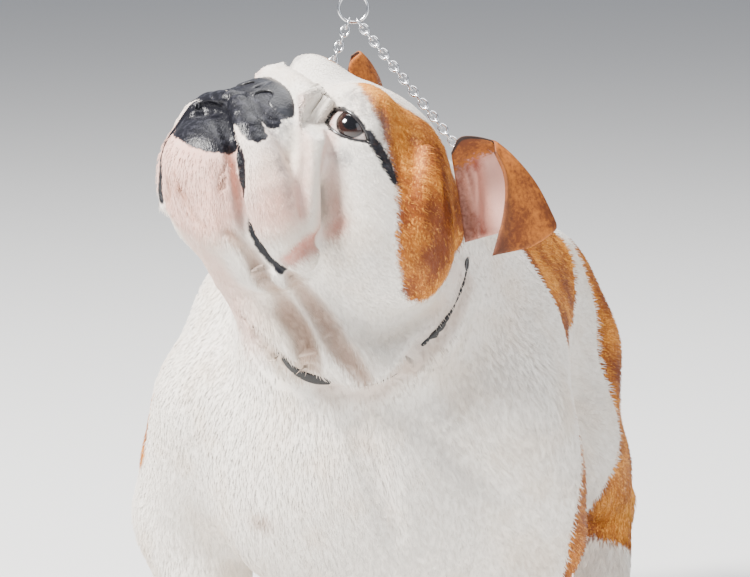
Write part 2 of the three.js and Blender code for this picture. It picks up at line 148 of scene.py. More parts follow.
def rope(stations, steps=10):
    beads = softCurve(stations, steps)

    def distance(p):
        nearest = np.full(len(p), 1e3)
        for a, b in zip(beads[:-1], beads[1:]):
            along = b[:3] - a[:3]
            t = np.clip((p - a[:3]) @ along / (along @ along), 0, 1)
            away = np.linalg.norm(p - a[:3] - t[:, None] * along, axis=1)
            nearest = np.minimum(nearest, away - a[3] - t * (b[3] - a[3]))
        return nearest
    distance.middle = beads[:, :3].mean(axis=0)
    distance.reach = (np.linalg.norm(beads[:, :3] - distance.middle, axis=1) + beads[:, 3]).max()
    return distance


def melt(a, b, soft):
    h = np.maximum(soft - np.abs(a - b), 0) / soft
    return np.minimum(a, b) - h * h * soft / 4


class Clay:
    # Built up and cut away shape by shape, each melting into the last over a soft width
    def __init__(self):
        self.layers = []

    def add(self, shape, soft):
        self.layers.append((shape, max(soft, 0.01), 1))
        return self

    def carve(self, shape, soft):
        self.layers.append((shape, max(soft, 0.01), -1))
        return self

    def distance(self, p, start=60.0):
        d = np.full(len(p), start) if np.isscalar(start) else start.copy()
        for shape, soft, sign in self.layers:
            near = np.linalg.norm(p - shape.middle, axis=1) < shape.reach + soft + 18
            if near.any():
                d[near] = sign * melt(sign * d[near], shape(p[near]), soft)
        return d


# The head's forms, for its left half

mouthLine = [
    (0, -118.5, -42.5), (13, -118, -47), (24, -115, -53), (29, -109.5, -58), (35, -101.5, -67),
    (42, -92, -78), (50, -78, -93), (56, -68, -98), (61, -55, -102),
]
headClay = (
    Clay()
    .add(egg((0, -4, -6), (66, 59, 51)), 0)                                       # braincase
    .add(egg((0, -38, -14), (66, 44, 44)), 20)                                    # face
    .add(egg((54, 8, -40), (36, 54, 46)), 22)                                     # cheek
    .add(egg((32, -50, 14), (25, 24, 21)), 12)                                    # brow
    .add(egg((0, -82, -34), (44, 33, 28)), 12)                                    # upper muzzle
    .add(rope([(0, -62, -82, 36), (0, -24, -88, 42), (0, 30, -84, 52)]), 24)      # under the jaw
    .add(rope([(22, -74, -84, 28), (36, -48, -88, 32)]), 16)                      # lower jaw
    .add(egg((0, -89, -70), (40, 39, 34)), 14)                                    # chin
    .add(rope([(6, -111, -33, 10), (28, -103, -47, 16), (46, -84, -64, 20), (57, -62, -78, 19),
               (62, -44, -83, 14)]), 3)                                           # flew
    .add(rope([(0, -86, 0, 11), (20, -86, -2, 11), (36, -79, -14, 12), (50, -70, -40, 12),
               (60, -54, -66, 12)]), 6)                                           # roll beside the nose
    .add(egg((0, -90, -18), (30, 15, 16)), 4)                                     # nose
    .add(rope([(58, -22, 26, 2), (70, -12, 14, 6), (77, -2, -4, 9), (79, 10, -40, 11)]), 16)  # before the ear
    .carve(egg((49, -72, 2), (17, 11, 12)), 8)                                    # eye socket
    .carve(rope([(*spot, 3) for spot in mouthLine], 16), 5)                       # mouth
    .carve(rope([(0, -80, 24, 2), (0, -30, 54, 3)]), 14)                          # forehead furrow
)
farFlew = rope([(-24, -114, -52, 8), (-37, -102, -80, 8), (-40, -90, -94, 8), (-42, -76, -106, 7)])
creases = dict(
    besideFlew=[(26, -92, -4, 1.4), (44, -89, -20, 2.6), (55, -82, -35, 3.2), (63, -74, -50, 3.6),
                (69, -66, -62, 2.4)],
    behindRoll=[(44, -71, -11, 2), (54, -67, -25, 3.6), (57, -58, -38, 4.4), (61, -49, -46, 4.4),
                (67, -42, -52, 3.4)],
    mouthCorner=[(67, -41, -52, 2.2), (67, -42, -64, 3.2), (74, -53, -79, 3), (70, -54, -92, 1.4)],
    browFirst=[(50, -60, 27, 1), (56, -54, 19, 2.2), (60, -48, 11, 2.2), (68, -39, -4, 0.9)],
    browSecond=[(49, -47, 29, 1), (58, -39, 17, 2.6), (66, -31, 5, 2.4), (73, -27, -6, 0.9)],
    browThird=[(46, -32, 32, 1), (56, -28, 22, 2.4), (66, -22, 10, 1)],
    beforeEar=[(68, -22, 26, 1.2), (80, -13, 11, 3.2), (89, -3, -6, 3.8), (90, 14, -18, 3.2),
               (83, 34, -22, 1.2)],
    chinSide=[(5, -114, -90, 1), (10, -106, -99, 2.2), (18, -97, -107, 2.2), (29, -90, -108, 1)],
    chinFront=[(27, -111, -66, 0.8), (34, -104, -80, 1.5)],
)
creaseSoft = dict(
    besideFlew=3, behindRoll=6, mouthCorner=6, browFirst=4, browSecond=4, browThird=4, beforeEar=6,
    chinSide=4, chinFront=4,
)
headCreases = Clay()
for creaseName, stations in creases.items():
    headCreases.carve(rope(stations, 6), creaseSoft[creaseName])
throatCreases = dict(
    first=[(-43, -319, 372, 1), (-30, -316, 358, 2.4), (-23, -306, 338, 3.6), (-19, -275, 318, 5),
           (-10, -274, 305, 5.4), (-5, -272, 291, 5.4), (-4, -265, 275, 3)],
    second=[(-7, -305, 345, 1), (-7, -277, 329, 3.6), (1, -274, 318, 5), (9, -273, 307, 5.4),
            (16, -273, 295, 5.4), (24, -269, 284, 4.6), (32, -262, 271, 2)],
)

# The edge of the lip, on the near and the far side of the muzzle
lips = dict(
    near=[(-6, -117, -39.5), (4, -115, -42.5), (18, -114, -49), (30, -115, -54), (38, -112, -58),
          (44, -105, -65), (47, -98, -74), (47, -88, -82), (49, -78, -88), (53, -69, -93), (58, -57, -97),
          (64, -48, -98)],
    far=[(4, -115, -42.5), (-10, -116, -41.5), (-19, -117, -45), (-25, -120, -53), (-31, -116, -65),
         (-34, -112, -76), (-35, -106, -87), (-36, -99, -95), (-38, -90, -103), (-44, -74, -106),
         (-55, -58, -101), (-63, -47, -98)],
)
lipCarve = {line: rope([(*spot, 1.7) for spot in spots], 22) for line, spots in lips.items()}
lipEdge = {line: rope([(*spot, 3.6) for spot in spots], 22) for line, spots in lips.items()}


# Trunk, legs, tail and neck

body = dict(withers=368, shoulders=302, frontTrack=206, hindTrack=186, lean=-14, frontToe=14, hindToe=12.5)
toeSpread = (-1.5, -0.5, 0.5, 1.5)
trunkClay = (
    Clay()
    .add(egg((0, -70, body["withers"] - 130), (120, 165, 128)), 0)
    .add(egg((0, -160, 206), (112, 86, 112)), 40)
    .add(egg((0, 60, 266), (96, 150, 98)), 40)
    .add(egg((0, 150, 250), (92, 88, 84)), 30)
    .add(egg((0, -125, 318), (88, 85, 54)), 30)
    .add(egg((body["shoulders"] / 2 - 66, -128, 258), (50, 64, 92), (-12, -6, 0)), 26)
    .add(egg((59, 160, 226), (40, 70, 87), (14, 0, 0)), 26)
)
neckClay = (
    Clay()
    .add(rope([(0, -95, 300, 90), (6, -145, 338, 82), (18, -178, 364, 62)]), 0)
    .add(rope([(-22, -215, 350, 60), (-8, -205, 300, 60)]), 30)
    .add(rope([(-52, -254, 338, 16), (-32, -260, 308, 19), (-14, -257, 286, 18), (-6, -248, 278, 13)]), 10)
    .add(rope([(-14, -256, 332, 18), (6, -256, 300, 21), (24, -249, 282, 21), (46, -236, 284, 20),
               (66, -214, 302, 18), (75, -196, 326, 14)]), 10)
)
dewlapLine = [
    (-64, -252, 330, 1.5), (-42, -269, 303, 3), (-26, -271, 287, 3), (-11, -267, 273, 4.5),
    (-1, -256, 264, 6.5), (14, -253, 257, 7.5), (30, -251, 259, 7.5), (42, -250, 263, 7.5),
    (53, -251, 272, 7), (67, -240, 292, 6.5), (80, -223, 305, 5.5), (86, -199, 333, 3.5),
]
chestFolds = [
    [(18, -252, 257, 1.4), (22, -246, 236, 2.8), (32, -244, 204, 2.4), (42, -233, 166, 0.5)],
    [(62, -232, 236, 1), (77, -223, 222, 2.2), (105, -200, 192, 0.6)],
]
neckCreases = Clay().carve(rope(dewlapLine, 16), 8)
for stations in chestFolds:
    neckCreases.carve(rope(stations, 8), 16)
for stations in throatCreases.values():
    neckCreases.carve(rope(stations), 7)
tailClay = Clay().add(
    rope([(0, 212, 300, 22), (0, 244, 290, 17), (4, 260, 270, 13), (4, 266, 248, 9), (2, 268, 232, 5)]), 0)


def frontPaw(side):
    return side * body["frontTrack"] / 2 + body["lean"], -160


def hindPaw(side):
    return side * body["hindTrack"] / 2, 166


def withToes(clay, x, y, toe):
    toes = [rope([(x + k * toe * 0.95, y, toe + 6, toe * 0.85),
                  (x + k * toe * 1.2, y - 22 + k * k * 4, toe - 3, toe)], 3) for k in toeSpread]

    def distance(p):
        return np.min([t(p) for t in toes], axis=0)
    distance.middle, distance.reach = np.array((x, y - 10, toe)), toe * 4
    return clay.add(distance, 6)


def frontLeg(side):
    x, y = frontPaw(side)
    elbow = side * 115 + body["lean"]
    clay = (
        Clay()
        .add(rope([(side * 98, -165, 235, 46), (side * 110 + body["lean"] * 0.4, -140, 190, 46),
                   (elbow, -120, 148, 45)]), 0)
        .add(rope([(elbow, -120, 150, 43), (x + side * 3, -130, 100, 34), (x, -138, 52, 29)]), 10)
        .add(egg((x, -150, 24), (33, 36, 28)), 12)
    )
    return withToes(clay, x, y, body["frontToe"])


def hindLeg(side):
    x, y = hindPaw(side)
    clay = (
        Clay()
        .add(rope([(side * 66, 150, 225, 50), (side * 78, 125, 182, 44), (side * 86, 158, 145, 38),
                   (side * 92, 205, 108, 24)]), 0)
        .add(rope([(side * 92, 208, 106, 23), (x, 200, 60, 23), (x, 188, 30, 23)]), 10)
        .add(egg((x, 177, 22), (29, 33, 26)), 10)
    )
    return withToes(clay, x, y, body["hindToe"])


# Each part that melts into the trunk: the ball in which it counts, and how softly it melts
flesh = []
for side in (1, -1):
    flesh.append((frontLeg(side), (side * 105, -145, 130), 190, 22))
    flesh.append((hindLeg(side), (side * 78, 165, 130), 190, 22))
flesh.append((tailClay, (0, 240, 268), 70, 14))
flesh.append((neckClay, (5, -180, 340), 200, 26))

lidAcross = unit(eye["line"])
lidOut = unit(np.cross(lidAcross, (0, 0, 1)))
lidUp = np.cross(lidAcross, lidOut)
lidUp = lidUp * np.sign(lidUp[2])
coatDepth = dict(body=2.2, face=1.2)    # how far the skin lies inside the solids, for the tufts on it


# Lids are a thicker ball over the eyeball, open between two planes that meet at its corners.
def lids(q, d):
    away = q - np.array(eye["at"], dtype=float)
    near = np.linalg.norm(away, axis=1) < 40
    away = away[near]
    r = np.linalg.norm(away, axis=1)
    u, v = away @ lidOut - eye["apex"], away @ lidUp
    top, bottom = math.radians(eye["upper"]), math.radians(eye["lower"])
    wedge = np.maximum(v * math.cos(top) - u * math.sin(top), -v * math.cos(bottom) - u * math.sin(bottom))
    opening = np.maximum(wedge, eye["radius"] - 1.4 - r)
    covered = melt(d[near], r - eye["radius"] - eye["lid"], 5)
    d[near] = -melt(-covered, opening, 0.8)
    return d


def skinDistance(p, fine=True):
    d = trunkClay.distance(np.abs(p) * (1, 0, 0) + p * (0, 1, 1))
    for clay, at, reach, soft in flesh:
        near = np.linalg.norm(p - np.array(at), axis=1) < reach + soft
        if near.any():
            d[near] = melt(d[near], clay.distance(p[near]), soft)
    q = toHead(p)
    near = np.linalg.norm(q, axis=1) < head["reach"]
    if near.any():
        half = q[near]
        half[:, 0] = np.abs(half[:, 0])
        d[near] = melt(d[near], melt(headClay.distance(half), farFlew(q[near]), 5), 12)
        q[:, 0] = np.abs(q[:, 0])
    onFace = ease(-q[:, 1], 50, 80) * near
    d += coatDepth["body"] - (coatDepth["body"] - coatDepth["face"]) * onFace
    if fine and near.any():
        full = toHead(p[near])
        for line, at in (("near", 1), ("far", -1)):
            lip = lipCarve[line](full)
            d[near] = -melt(-d[near], np.where(at * full[:, 0] > -5, lip, 30), 2.6)
        d[near] = headCreases.distance(q[near], d[near])
        d = neckCreases.distance(p, d)
        d[near] = lids(q[near], d[near])
    return np.maximum(d, 0.3 - p[:, 2])


def slope(p, distance, step=0.4):
    total = np.zeros_like(p)
    for corner in ((1, -1, -1), (-1, -1, 1), (-1, 1, -1), (1, 1, 1)):
        corner = np.array(corner, dtype=float)
        total += corner * distance(p + corner * step)[:, None]
    return total / (4 * step)


# Moves points onto the surface
def settle(p, distance, rounds=2, most=2.5):
    for _ in range(rounds):
        grade = slope(p, distance)
        d = distance(p)
        move = grade * (d / np.maximum((grade ** 2).sum(axis=1), 0.05))[:, None]
        length = np.linalg.norm(move, axis=1, keepdims=True)
        p = p - move * np.minimum(1, most / np.maximum(length, 1e-9))
    return p


# Meshes the zero surface of a distance inside a box
def cast(distance, low, high, cell):
    steps = [np.arange(a, b + cell, cell) for a, b in zip(low, high)]
    values = np.empty([len(s) for s in steps], dtype=np.float32)
    for i, x in enumerate(steps[0]):
        ys, zs = np.meshgrid(steps[1], steps[2], indexing="ij")
        slab = np.column_stack([np.full(ys.size, x), ys.ravel(), zs.ravel()])
        values[i] = distance(slab).reshape(ys.shape)
    grid = openvdb.FloatGrid(5.0)
    grid.copyFromArray(values)
    corners, quads = grid.convertToQuads(0.0)
    return np.array(corners, dtype=float) * cell + np.array(low, dtype=float), np.array(quads)


def selectOnly(piece):
    bpy.ops.object.select_all(action="DESELECT")
    piece.select_set(True)
    bpy.context.view_layer.objects.active = piece


def newPiece(name, corners, faces):
    mesh = bpy.data.meshes.new(name)
    mesh.from_pydata([tuple(c) for c in place(corners)], [], [tuple(int(i) for i in f) for f in faces])
    mesh.validate()
    piece = bpy.data.objects.new(name, mesh)
    bpy.context.collection.objects.link(piece)
    mesh.shade_smooth()
    return piece


def facesOutward(piece):
    selectOnly(piece)
    bpy.ops.object.mode_set(mode="EDIT")
    bpy.ops.mesh.select_all(action="SELECT")
    bpy.ops.mesh.normals_make_consistent(inside=False)
    bpy.ops.object.mode_set(mode="OBJECT")


def cornersOf(piece):
    flat = np.empty(len(piece.data.vertices) * 3)
    piece.data.vertices.foreach_get("co", flat)
    return flat.reshape(-1, 3) * 1000 - shift


def setCorners(piece, corners):
    piece.data.vertices.foreach_set("co", place(corners).ravel())
    piece.data.update()


# Subdivides the faces whose middles a test picks, then settles the corners again
def refine(piece, test, distance, rounds=2):
    selectOnly(piece)
    mesh = piece.data
    bpy.ops.object.mode_set(mode="EDIT")
    bpy.ops.mesh.select_mode(type="FACE")
    bpy.ops.mesh.select_all(action="DESELECT")
    bpy.ops.object.mode_set(mode="OBJECT")
    middles = np.empty(len(mesh.polygons) * 3)
    mesh.polygons.foreach_get("center", middles)
    chosen = test(middles.reshape(-1, 3) * 1000 - shift)
    mesh.polygons.foreach_set("select", chosen)
    bpy.ops.object.mode_set(mode="EDIT")
    bpy.ops.mesh.subdivide(number_cuts=1)
    bpy.ops.object.mode_set(mode="OBJECT")
    corners = cornersOf(piece)
    moved = test(corners)
    corners[moved] = settle(corners[moved], distance, rounds)
    setCorners(piece, corners)


# Keeps a number, or three, at each corner of a piece
def attribute(piece, name, values):
    kind = "FLOAT_VECTOR" if values.ndim == 2 else "FLOAT"
    layer = piece.data.attributes.new(name, kind, "POINT")
    layer.data.foreach_set("vector" if values.ndim == 2 else "value", values.astype(np.float32).ravel())


# Markings. Edges are in millimetres inside each patch, and soft ones run from 0 to 1.

markLimit = 30
patches = [
    egg((110, 10, 330), (102, 130, 68)), egg((112, 215, 215), (92, 100, 140)),
    egg((152, -92, 165), (46, 60, 95)), egg((-153, -122, 232), (28, 60, 50)),
    egg((-100, 110, 305), (78, 84, 62)),
]
# Outlines of the tan sides of the head, seen from the side. They reach inward to that far from its middle.
faceTan = dict(
    left=[(-70, 32), (-66, 22), (-57, 16), (-46, 8), (-35, -2), (-26, -12), (-19, -26), (-10, -38), (2, -49),
          (19, -60), (33, -62), (50, -52), (62, -30), (68, 0), (64, 40), (30, 72), (-20, 72), (-58, 52)],
    right=[(-60, 34), (-52, 14), (-38, 0), (-20, -20), (0, -34), (25, -46), (48, -40), (62, -15), (64, 30),
           (24, 72), (-30, 64)],
    inward=27,
)
chinBlack = egg((-2, -118, -57), (33, 24, 17))
noseBlack = [
    rope([(0, -114, -36, 10), (18, -112, -38, 10), (37, -110, -42, 7.5)]),
    egg((0, -95, -21), (33, 20, 18)),
    rope([(0, -107, -27, 14), (20, -104, -29, 12), (30, -101, -29, 6)]),
]
eyeStripe = rope([(56, -56, 3, 3.5), (61, -45, 0, 4.5), (66, -37, -4, 4.5), (72, -28, -9, 2.5)])
# Soft tints on the head: each shape with its strength, and for pink its softness too
greyHair = [
    (egg((46, -68, 17), (15, 12, 8)), 0.5),
    (rope([(51, -96, -44, 2.5), (57, -90, -50, 3)]), 0.55),
    (rope([(60, -86, -56, 2), (66, -79, -64, 3)]), 0.5),
    (egg((31, -98, -30), (8, 9, 12)), 0.6),
    (egg((56, -62, -18), (9, 8, 5)), 0.5),
    (rope([(52, -57, 19, 3), (60, -47, 12, 4), (66, -39, 3, 4)]), 0.55),
]
pinkSkin = [
    (egg((0, -100, -84), (52, 40, 40)), 0.75, 10),
    (rope([(30, -100, -50, 14), (56, -80, -70, 20)]), 0.7, 8),
    (rope([(0, -60, -118, 30), (-5, -20, -124, 30)]), 0.5, 14),
    (rope([(58, -60, -30, 5), (68, -45, -56, 8)]), 0.6, 9),
    (rope([(-4, -50, -128, 26), (0, -10, -132, 30)]), 0.45, 16),
]
# Folds that show red, and folds darkened with painted shade: how much wider than the fold, and how strongly
redFolds = dict(besideFlew=(0.4, 0.5), behindRoll=(1.2, 0.6), mouthCorner=(2.6, 0.9))
paintedShadeFolds = dict(chinSide=0.7, chinFront=0.7, browFirst=0.6, browSecond=0.7, browThird=0.6, beforeEar=0.8)
# Painted shade along the dewlap, throat and chest folds, each with its strength
paintedShadeBodyFolds = [
    (throatCreases["first"], 0.85), (throatCreases["second"], 0.85), (dewlapLine, 0.5), (chestFolds[0], 0.3),
    (chestFolds[1], 0.25),
]
chestSpot = egg((-48, -226, 170), (8, 10, 5))


def signedLoop(points, at):
    loop = np.array(points, dtype=float)
    inside = np.zeros(len(at), dtype=bool)
    nearest = np.full(len(at), 1e3)
    for a, b in zip(loop, np.roll(loop, -1, axis=0)):
        along = b - a
        t = np.clip((at - a) @ along / (along @ along), 0, 1)
        nearest = np.minimum(nearest, np.linalg.norm(at - a - t[:, None] * along, axis=1))
        crosses = (a[1] > at[:, 1]) != (b[1] > at[:, 1])
        lean = (b[0] - a[0]) * (at[:, 1] - a[1]) / (b[1] - a[1] if b[1] != a[1] else 1e-9) + a[0]
        inside ^= crosses & (at[:, 0] < lean)
    return np.where(inside, nearest, -nearest)


# Half of a lid opening's edge, from one corner of the eye to the other, on a ball of the given radius
def rimCurve(side, radius, upper, count):
    tilt = math.radians(eye["upper"] if upper else eye["lower"])
    widest = math.sqrt(radius ** 2 - eye["apex"] ** 2) * 0.98
    direction = lidOut * math.cos(tilt) + lidUp * math.sin(tilt) * (1 if upper else -1)
    spots = []
    for i in range(count):
        w = -widest * math.cos(math.pi * i / (count - 1))
        s = math.sqrt(max(radius ** 2 - w ** 2 - (eye["apex"] * math.sin(tilt)) ** 2, 0))
        s -= eye["apex"] * math.cos(tilt)
        spots.append(np.array(eye["at"]) + lidOut * eye["apex"] + lidAcross * w + direction * max(s, 0))
    return mirroredX(np.array(spots), side)


rims = [rope([(*p, 1.5 if upper else 1.2) for p in rimCurve(1, eye["radius"] + 1.6, upper, 9)], 10)
        for upper in (True, False)]


def tanMark(p, q, atHead):
    tan = np.full(len(p), -float(markLimit))
    for shape in patches:
        tan = np.maximum(tan, -shape(p))
    tan = tan + 6 * np.sin(p[:, 1] / 19 + 1.3) * np.sin(p[:, 2] / 16)     # patches have no even outline
    tan = tan + 4 * np.sin(p[:, 0] / 13 + p[:, 1] / 12)
    for sideName, side in (("left", 1), ("right", -1)):
        inLoop = signedLoop(faceTan[sideName], q[:, 1:])
        tan = np.where(atHead, np.maximum(tan, np.minimum(inLoop, side * q[:, 0] - faceTan["inward"])), tan)
    return tan


def markings(p):
    q = toHead(p)
    atHead = ease(-np.linalg.norm(q, axis=1), -175, -150) > 0
    tan = tanMark(p, q, atHead)
    black, bare = np.full((2, len(p)), -float(markLimit))
    grey, pink, red, line, soil = np.zeros((5, len(p)))
    # Painted shade darkens the throat, dewlap and chest folds.
    for stations, amount in paintedShadeBodyFolds:
        soil = np.maximum(soil, amount * ease(-rope(thickened(stations, 0.8), 16)(p), -5, 1.2))
    near = atHead & (q[:, 1] < 36)
    if near.any():
        full = q[near]
        half = full.copy()
        half[:, 0] = np.abs(half[:, 0])
        skin = np.max([-shape(half) for shape in noseBlack] + [-chinBlack(full)], axis=0)
        lip = np.maximum(np.where(full[:, 0] > -3, -lipEdge["near"](full), -markLimit),
                         np.where(full[:, 0] < 3, -lipEdge["far"](full), -markLimit))
        rim = np.max([-shape(half) for shape in rims], axis=0)
        bare[near] = np.max([skin, lip, rim], axis=0)
        black[near] = np.maximum(bare[near], -eyeStripe(half))
        line[near] = ease(lip, -0.8, 1.6)
        for shape, amount in greyHair:
            grey[near] = np.maximum(grey[near], amount * ease(-shape(half), -4, 3))
        for shape, amount, soft in pinkSkin:
            pink[near] = np.maximum(pink[near], amount * ease(-shape(half), -soft, soft))
        for foldName, (wider, amount) in redFolds.items():
            fold = rope(thickened(creases[foldName], wider), 8)
            red[near] = np.maximum(red[near], amount * ease(-fold(half), -5, 2))
        # Painted shade darkens the brow, chin and before-ear creases.
        for foldName, amount in paintedShadeFolds.items():
            fold = rope(thickened(creases[foldName], 0.6), 6)
            soil[near] = np.maximum(soil[near], amount * ease(-fold(half), -3, 1.2))
    # The belly and the insides of the thighs are thinly haired and pink.
    under = ease(-p[:, 2], -190, -140) * ease(p[:, 1], -100, 0) * ease(-np.abs(p[:, 0]), -80, -50)
    pink = np.maximum(pink, 0.5 * under * (p[:, 2] > 60))
    soil = np.maximum(soil, ease(-chestSpot(p), -6, 3) * 0.6)
    edges = np.clip(np.column_stack([tan, black, bare]), -markLimit, markLimit)
    return dict(edges=edges, tints=np.column_stack([grey, pink, red]), soil=soil, line=line)


# Materials

class Wire:
    # Wraps a socket, so that expressions on it add Math nodes
    def __init__(self, finish, socket):
        self.finish, self.socket = finish, socket

    def math(self, operation, *values):
        return self.finish.node("ShaderNodeMath", dict(operation=operation), dict(enumerate((self, *values))))

    def __add__(self, other):
        return self.math("ADD", other)

    def __radd__(self, other):
        return self.math("ADD", other)

    def __sub__(self, other):
        return self.math("SUBTRACT", other)

    def __rsub__(self, other):
        return self.finish.node("ShaderNodeMath", dict(operation="SUBTRACT"), {0: other, 1: self})

    def __mul__(self, other):
        return self.math("MULTIPLY", other)

    def __rmul__(self, other):
        return self.math("MULTIPLY", other)


class Finish:
    def __init__(self, name, **constants):
        self.material = bpy.data.materials.new(name)
        self.material.use_nodes = True
        self.tree = self.material.node_tree
        self.shader = self.tree.nodes["Principled BSDF"]
        for socket, value in constants.items():
            self.set(socket.replace("_", " "), value)

    def set(self, socket, value):
        target = self.shader.inputs[socket]
        if isinstance(value, Wire):
            self.tree.links.new(value.socket, target)
        else:
            target.default_value = self.opaque(value, target)

    # A colour gets its fourth number
    def opaque(self, value, target):
        isColour = isinstance(value, tuple) and len(value) == 3 and target.type == "RGBA"
        return (*value, 1) if isColour else value

    def node(self, kind, settings=None, sockets=None, out=0):
        made = self.tree.nodes.new(kind)
        for key, value in (settings or {}).items():
            if key == "stops":
                ramp = made.color_ramp
                while len(ramp.elements) < len(value):
                    ramp.elements.new(0.5)
                for element, (spot, colour) in zip(ramp.elements, value):
                    element.position, element.color = spot, (*colour, 1)
            else:
                setattr(made, key, value)
        for key, value in (sockets or {}).items():
            if isinstance(value, Wire):
                self.tree.links.new(value.socket, made.inputs[key])
            else:
                made.inputs[key].default_value = self.opaque(value, made.inputs[key])
        return Wire(self, made.outputs[out])

    def smooth(self, value, low, high):
        settings = dict(interpolation_type="SMOOTHSTEP")
        return self.node("ShaderNodeMapRange", settings, {0: value, 1: low, 2: high})

    def mix(self, amount, first, second):
        return self.node("ShaderNodeMix", dict(data_type="RGBA"), {0: amount, 6: first, 7: second}, 2)

    def noise(self, where, scale, detail=3, roughness=0.5):
        return self.node("ShaderNodeTexNoise", None, {"Vector": where, "Scale": scale, "Detail": detail,
                                                      "Roughness": roughness})

    def read(self, name, out="Vector"):
        return self.node("ShaderNodeAttribute", dict(attribute_name=name), None, out)

    def split(self, vector):
        made = self.tree.nodes.new("ShaderNodeSeparateXYZ")
        self.tree.links.new(vector.socket, made.inputs[0])
        return [Wire(self, made.outputs[i]) for i in range(3)]

    def stretch(self, where, scale, turn=(0, 0, 0)):
        return self.node("ShaderNodeMapping", None, {"Vector": where, "Rotation": turn, "Scale": scale})

    def bump(self, height, strength, distance):
        self.set("Normal", self.node("ShaderNodeBump", None, {"Strength": strength, "Distance": distance,
                                                               "Height": height}))


# The last brown is the colour of the painted shade in the folds, and of some darker tufts.
coat = dict(
    white=(0.88, 0.82, 0.74), cream=(0.74, 0.60, 0.46), black=(0.006, 0.006, 0.009), grey=(0.10, 0.10, 0.125),
    tan=(0.52, 0.16, 0.010), tanLight=(0.76, 0.32, 0.045), tanDark=(0.17, 0.036, 0.006),
    pink=(0.74, 0.31, 0.22), red=(0.46, 0.11, 0.07), soil=(0.26, 0.11, 0.05),
)


# The colours of the skin and coat follow the markings, with broken edges, and painted shade darkens the
# folds.
def coatColours(finish):
    where = finish.read("rootPlace")
    tan, black, bare = finish.split(finish.read("edges"))
    grey, pink, red = finish.split(finish.read("tints"))
    soil = finish.read("soil", "Fac")
    broad = finish.noise(where, 28, 3)
    fine = finish.noise(where, 260, 3, 0.6)
    hairs = finish.noise(finish.stretch(where, (900, 260, 420), (0.3, 0.2, 0.5)), 1, 2)
    white = finish.mix(finish.smooth(broad, 0.42, 0.72) * 0.5, coat["white"], coat["cream"])
    colour = finish.mix(pink * (0.55 + fine * 0.6), white, coat["pink"])
    # Painted shade: the folds darken towards brown.
    colour = finish.mix(soil * 0.9, colour, coat["soil"])
    tanHair = finish.mix(finish.smooth(broad + (fine - 0.5) * 0.5, 0.3, 0.75), coat["tanDark"], coat["tan"])
    tanHair = finish.mix(finish.smooth(hairs + (broad - 0.5) * 0.6, 0.45, 0.75), tanHair, coat["tanLight"])
    isTan = finish.smooth(tan + (fine - 0.5) * 9 + (broad - 0.5) * 8, -2, 2)
    # In the tan, painted shade in the folds darkens towards dark tan.
    colour = finish.mix(isTan, colour, finish.mix(soil, tanHair, coat["tanDark"]))
    colour = finish.mix(grey * finish.smooth(fine, 0.3, 0.6), colour, coat["grey"])
    colour = finish.mix(red * (0.5 + fine * 0.6), colour, coat["red"])
    isBlack = finish.smooth(black + (fine - 0.5) * 4 + (broad - 0.5) * 3, -0.7, 0.7)
    blackSkin = finish.mix(finish.smooth(fine, 0.45, 0.7) * 0.22, coat["black"], coat["grey"])
    colour = finish.mix(isBlack, colour, blackSkin)
    colour = finish.mix(finish.read("line", "Fac"), colour, coat["black"])
    return where, colour, bare, fine


def skinFinish():
    finish = Finish("dogSkin", IOR=1.35)
    where, colour, bare, fine = coatColours(finish)
    isBare = finish.smooth(bare + (fine - 0.5) * 5, -0.7, 0.7)
    finish.set("Base Color", colour)
    finish.set("Roughness", 0.62 - isBare * 0.3)
    strands = finish.noise(finish.stretch(where, (1100, 420, 500), (0.4, 0, 0.2)), 1, 2)
    finish.bump(strands + fine * 0.6, 0.35, 0.0012)
    return finish.material


def coatFinish():
    finish = Finish("dogCoat", Roughness=0.6, IOR=1.3)
    colour = coatColours(finish)[1]
    finish.set("Base Color", finish.mix(finish.read("shade", "Fac") * 0.16, colour, coat["soil"]))
    return finish.material


# The skin: one surface over head, neck, trunk, legs and tail

skinPlan = dict(cell=5, low=(-166, -352, -10), high=(166, 292, 492), headReach=150, pawsBelow=46)


# The head and paws have smaller faces than the body, and the face smaller ones again
def isHead(p):
    q = toHead(p)
    onHead = (np.linalg.norm(q, axis=1) < skinPlan["headReach"]) & (q[:, 1] < 60)
    return onHead | (p[:, 2] < skinPlan["pawsBelow"])


def isFace(p):
    q = toHead(p)
    return (q[:, 1] < -36) & (q[:, 2] > -112) & (np.linalg.norm(q, axis=1) < 170)


def smoothSkin(p):
    return skinDistance(p, False)


def makeSkin():
    corners, quads = cast(smoothSkin, skinPlan["low"], skinPlan["high"], skinPlan["cell"])
    skin = newPiece("skin", settle(corners, skinDistance), quads)
    print("skin cast", len(quads))
    refine(skin, isHead, skinDistance)
    print("head refined", len(skin.data.polygons))
    refine(skin, isFace, skinDistance, 3)
    print("face refined", len(skin.data.polygons))
    facesOutward(skin)
    skin.data.shade_smooth()
    corners = cornersOf(skin)
    marks = markings(corners)
    for markName, values in marks.items():
        attribute(skin, markName, values)
    attribute(skin, "rootPlace", place(corners))
    skin.data.materials.append(skinFinish())
    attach(skin, "root")
    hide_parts("head", "neck", "torso", "front_left_leg", "front_right_leg", "hind_left_leg",
                "hind_right_leg", "tail")
    return skin, marks


skin, skinMarks = makeSkin()
print("skin done", len(skin.data.vertices))


# Eyes: a ball with the clear front bulging over a dark iris, and black lid margins

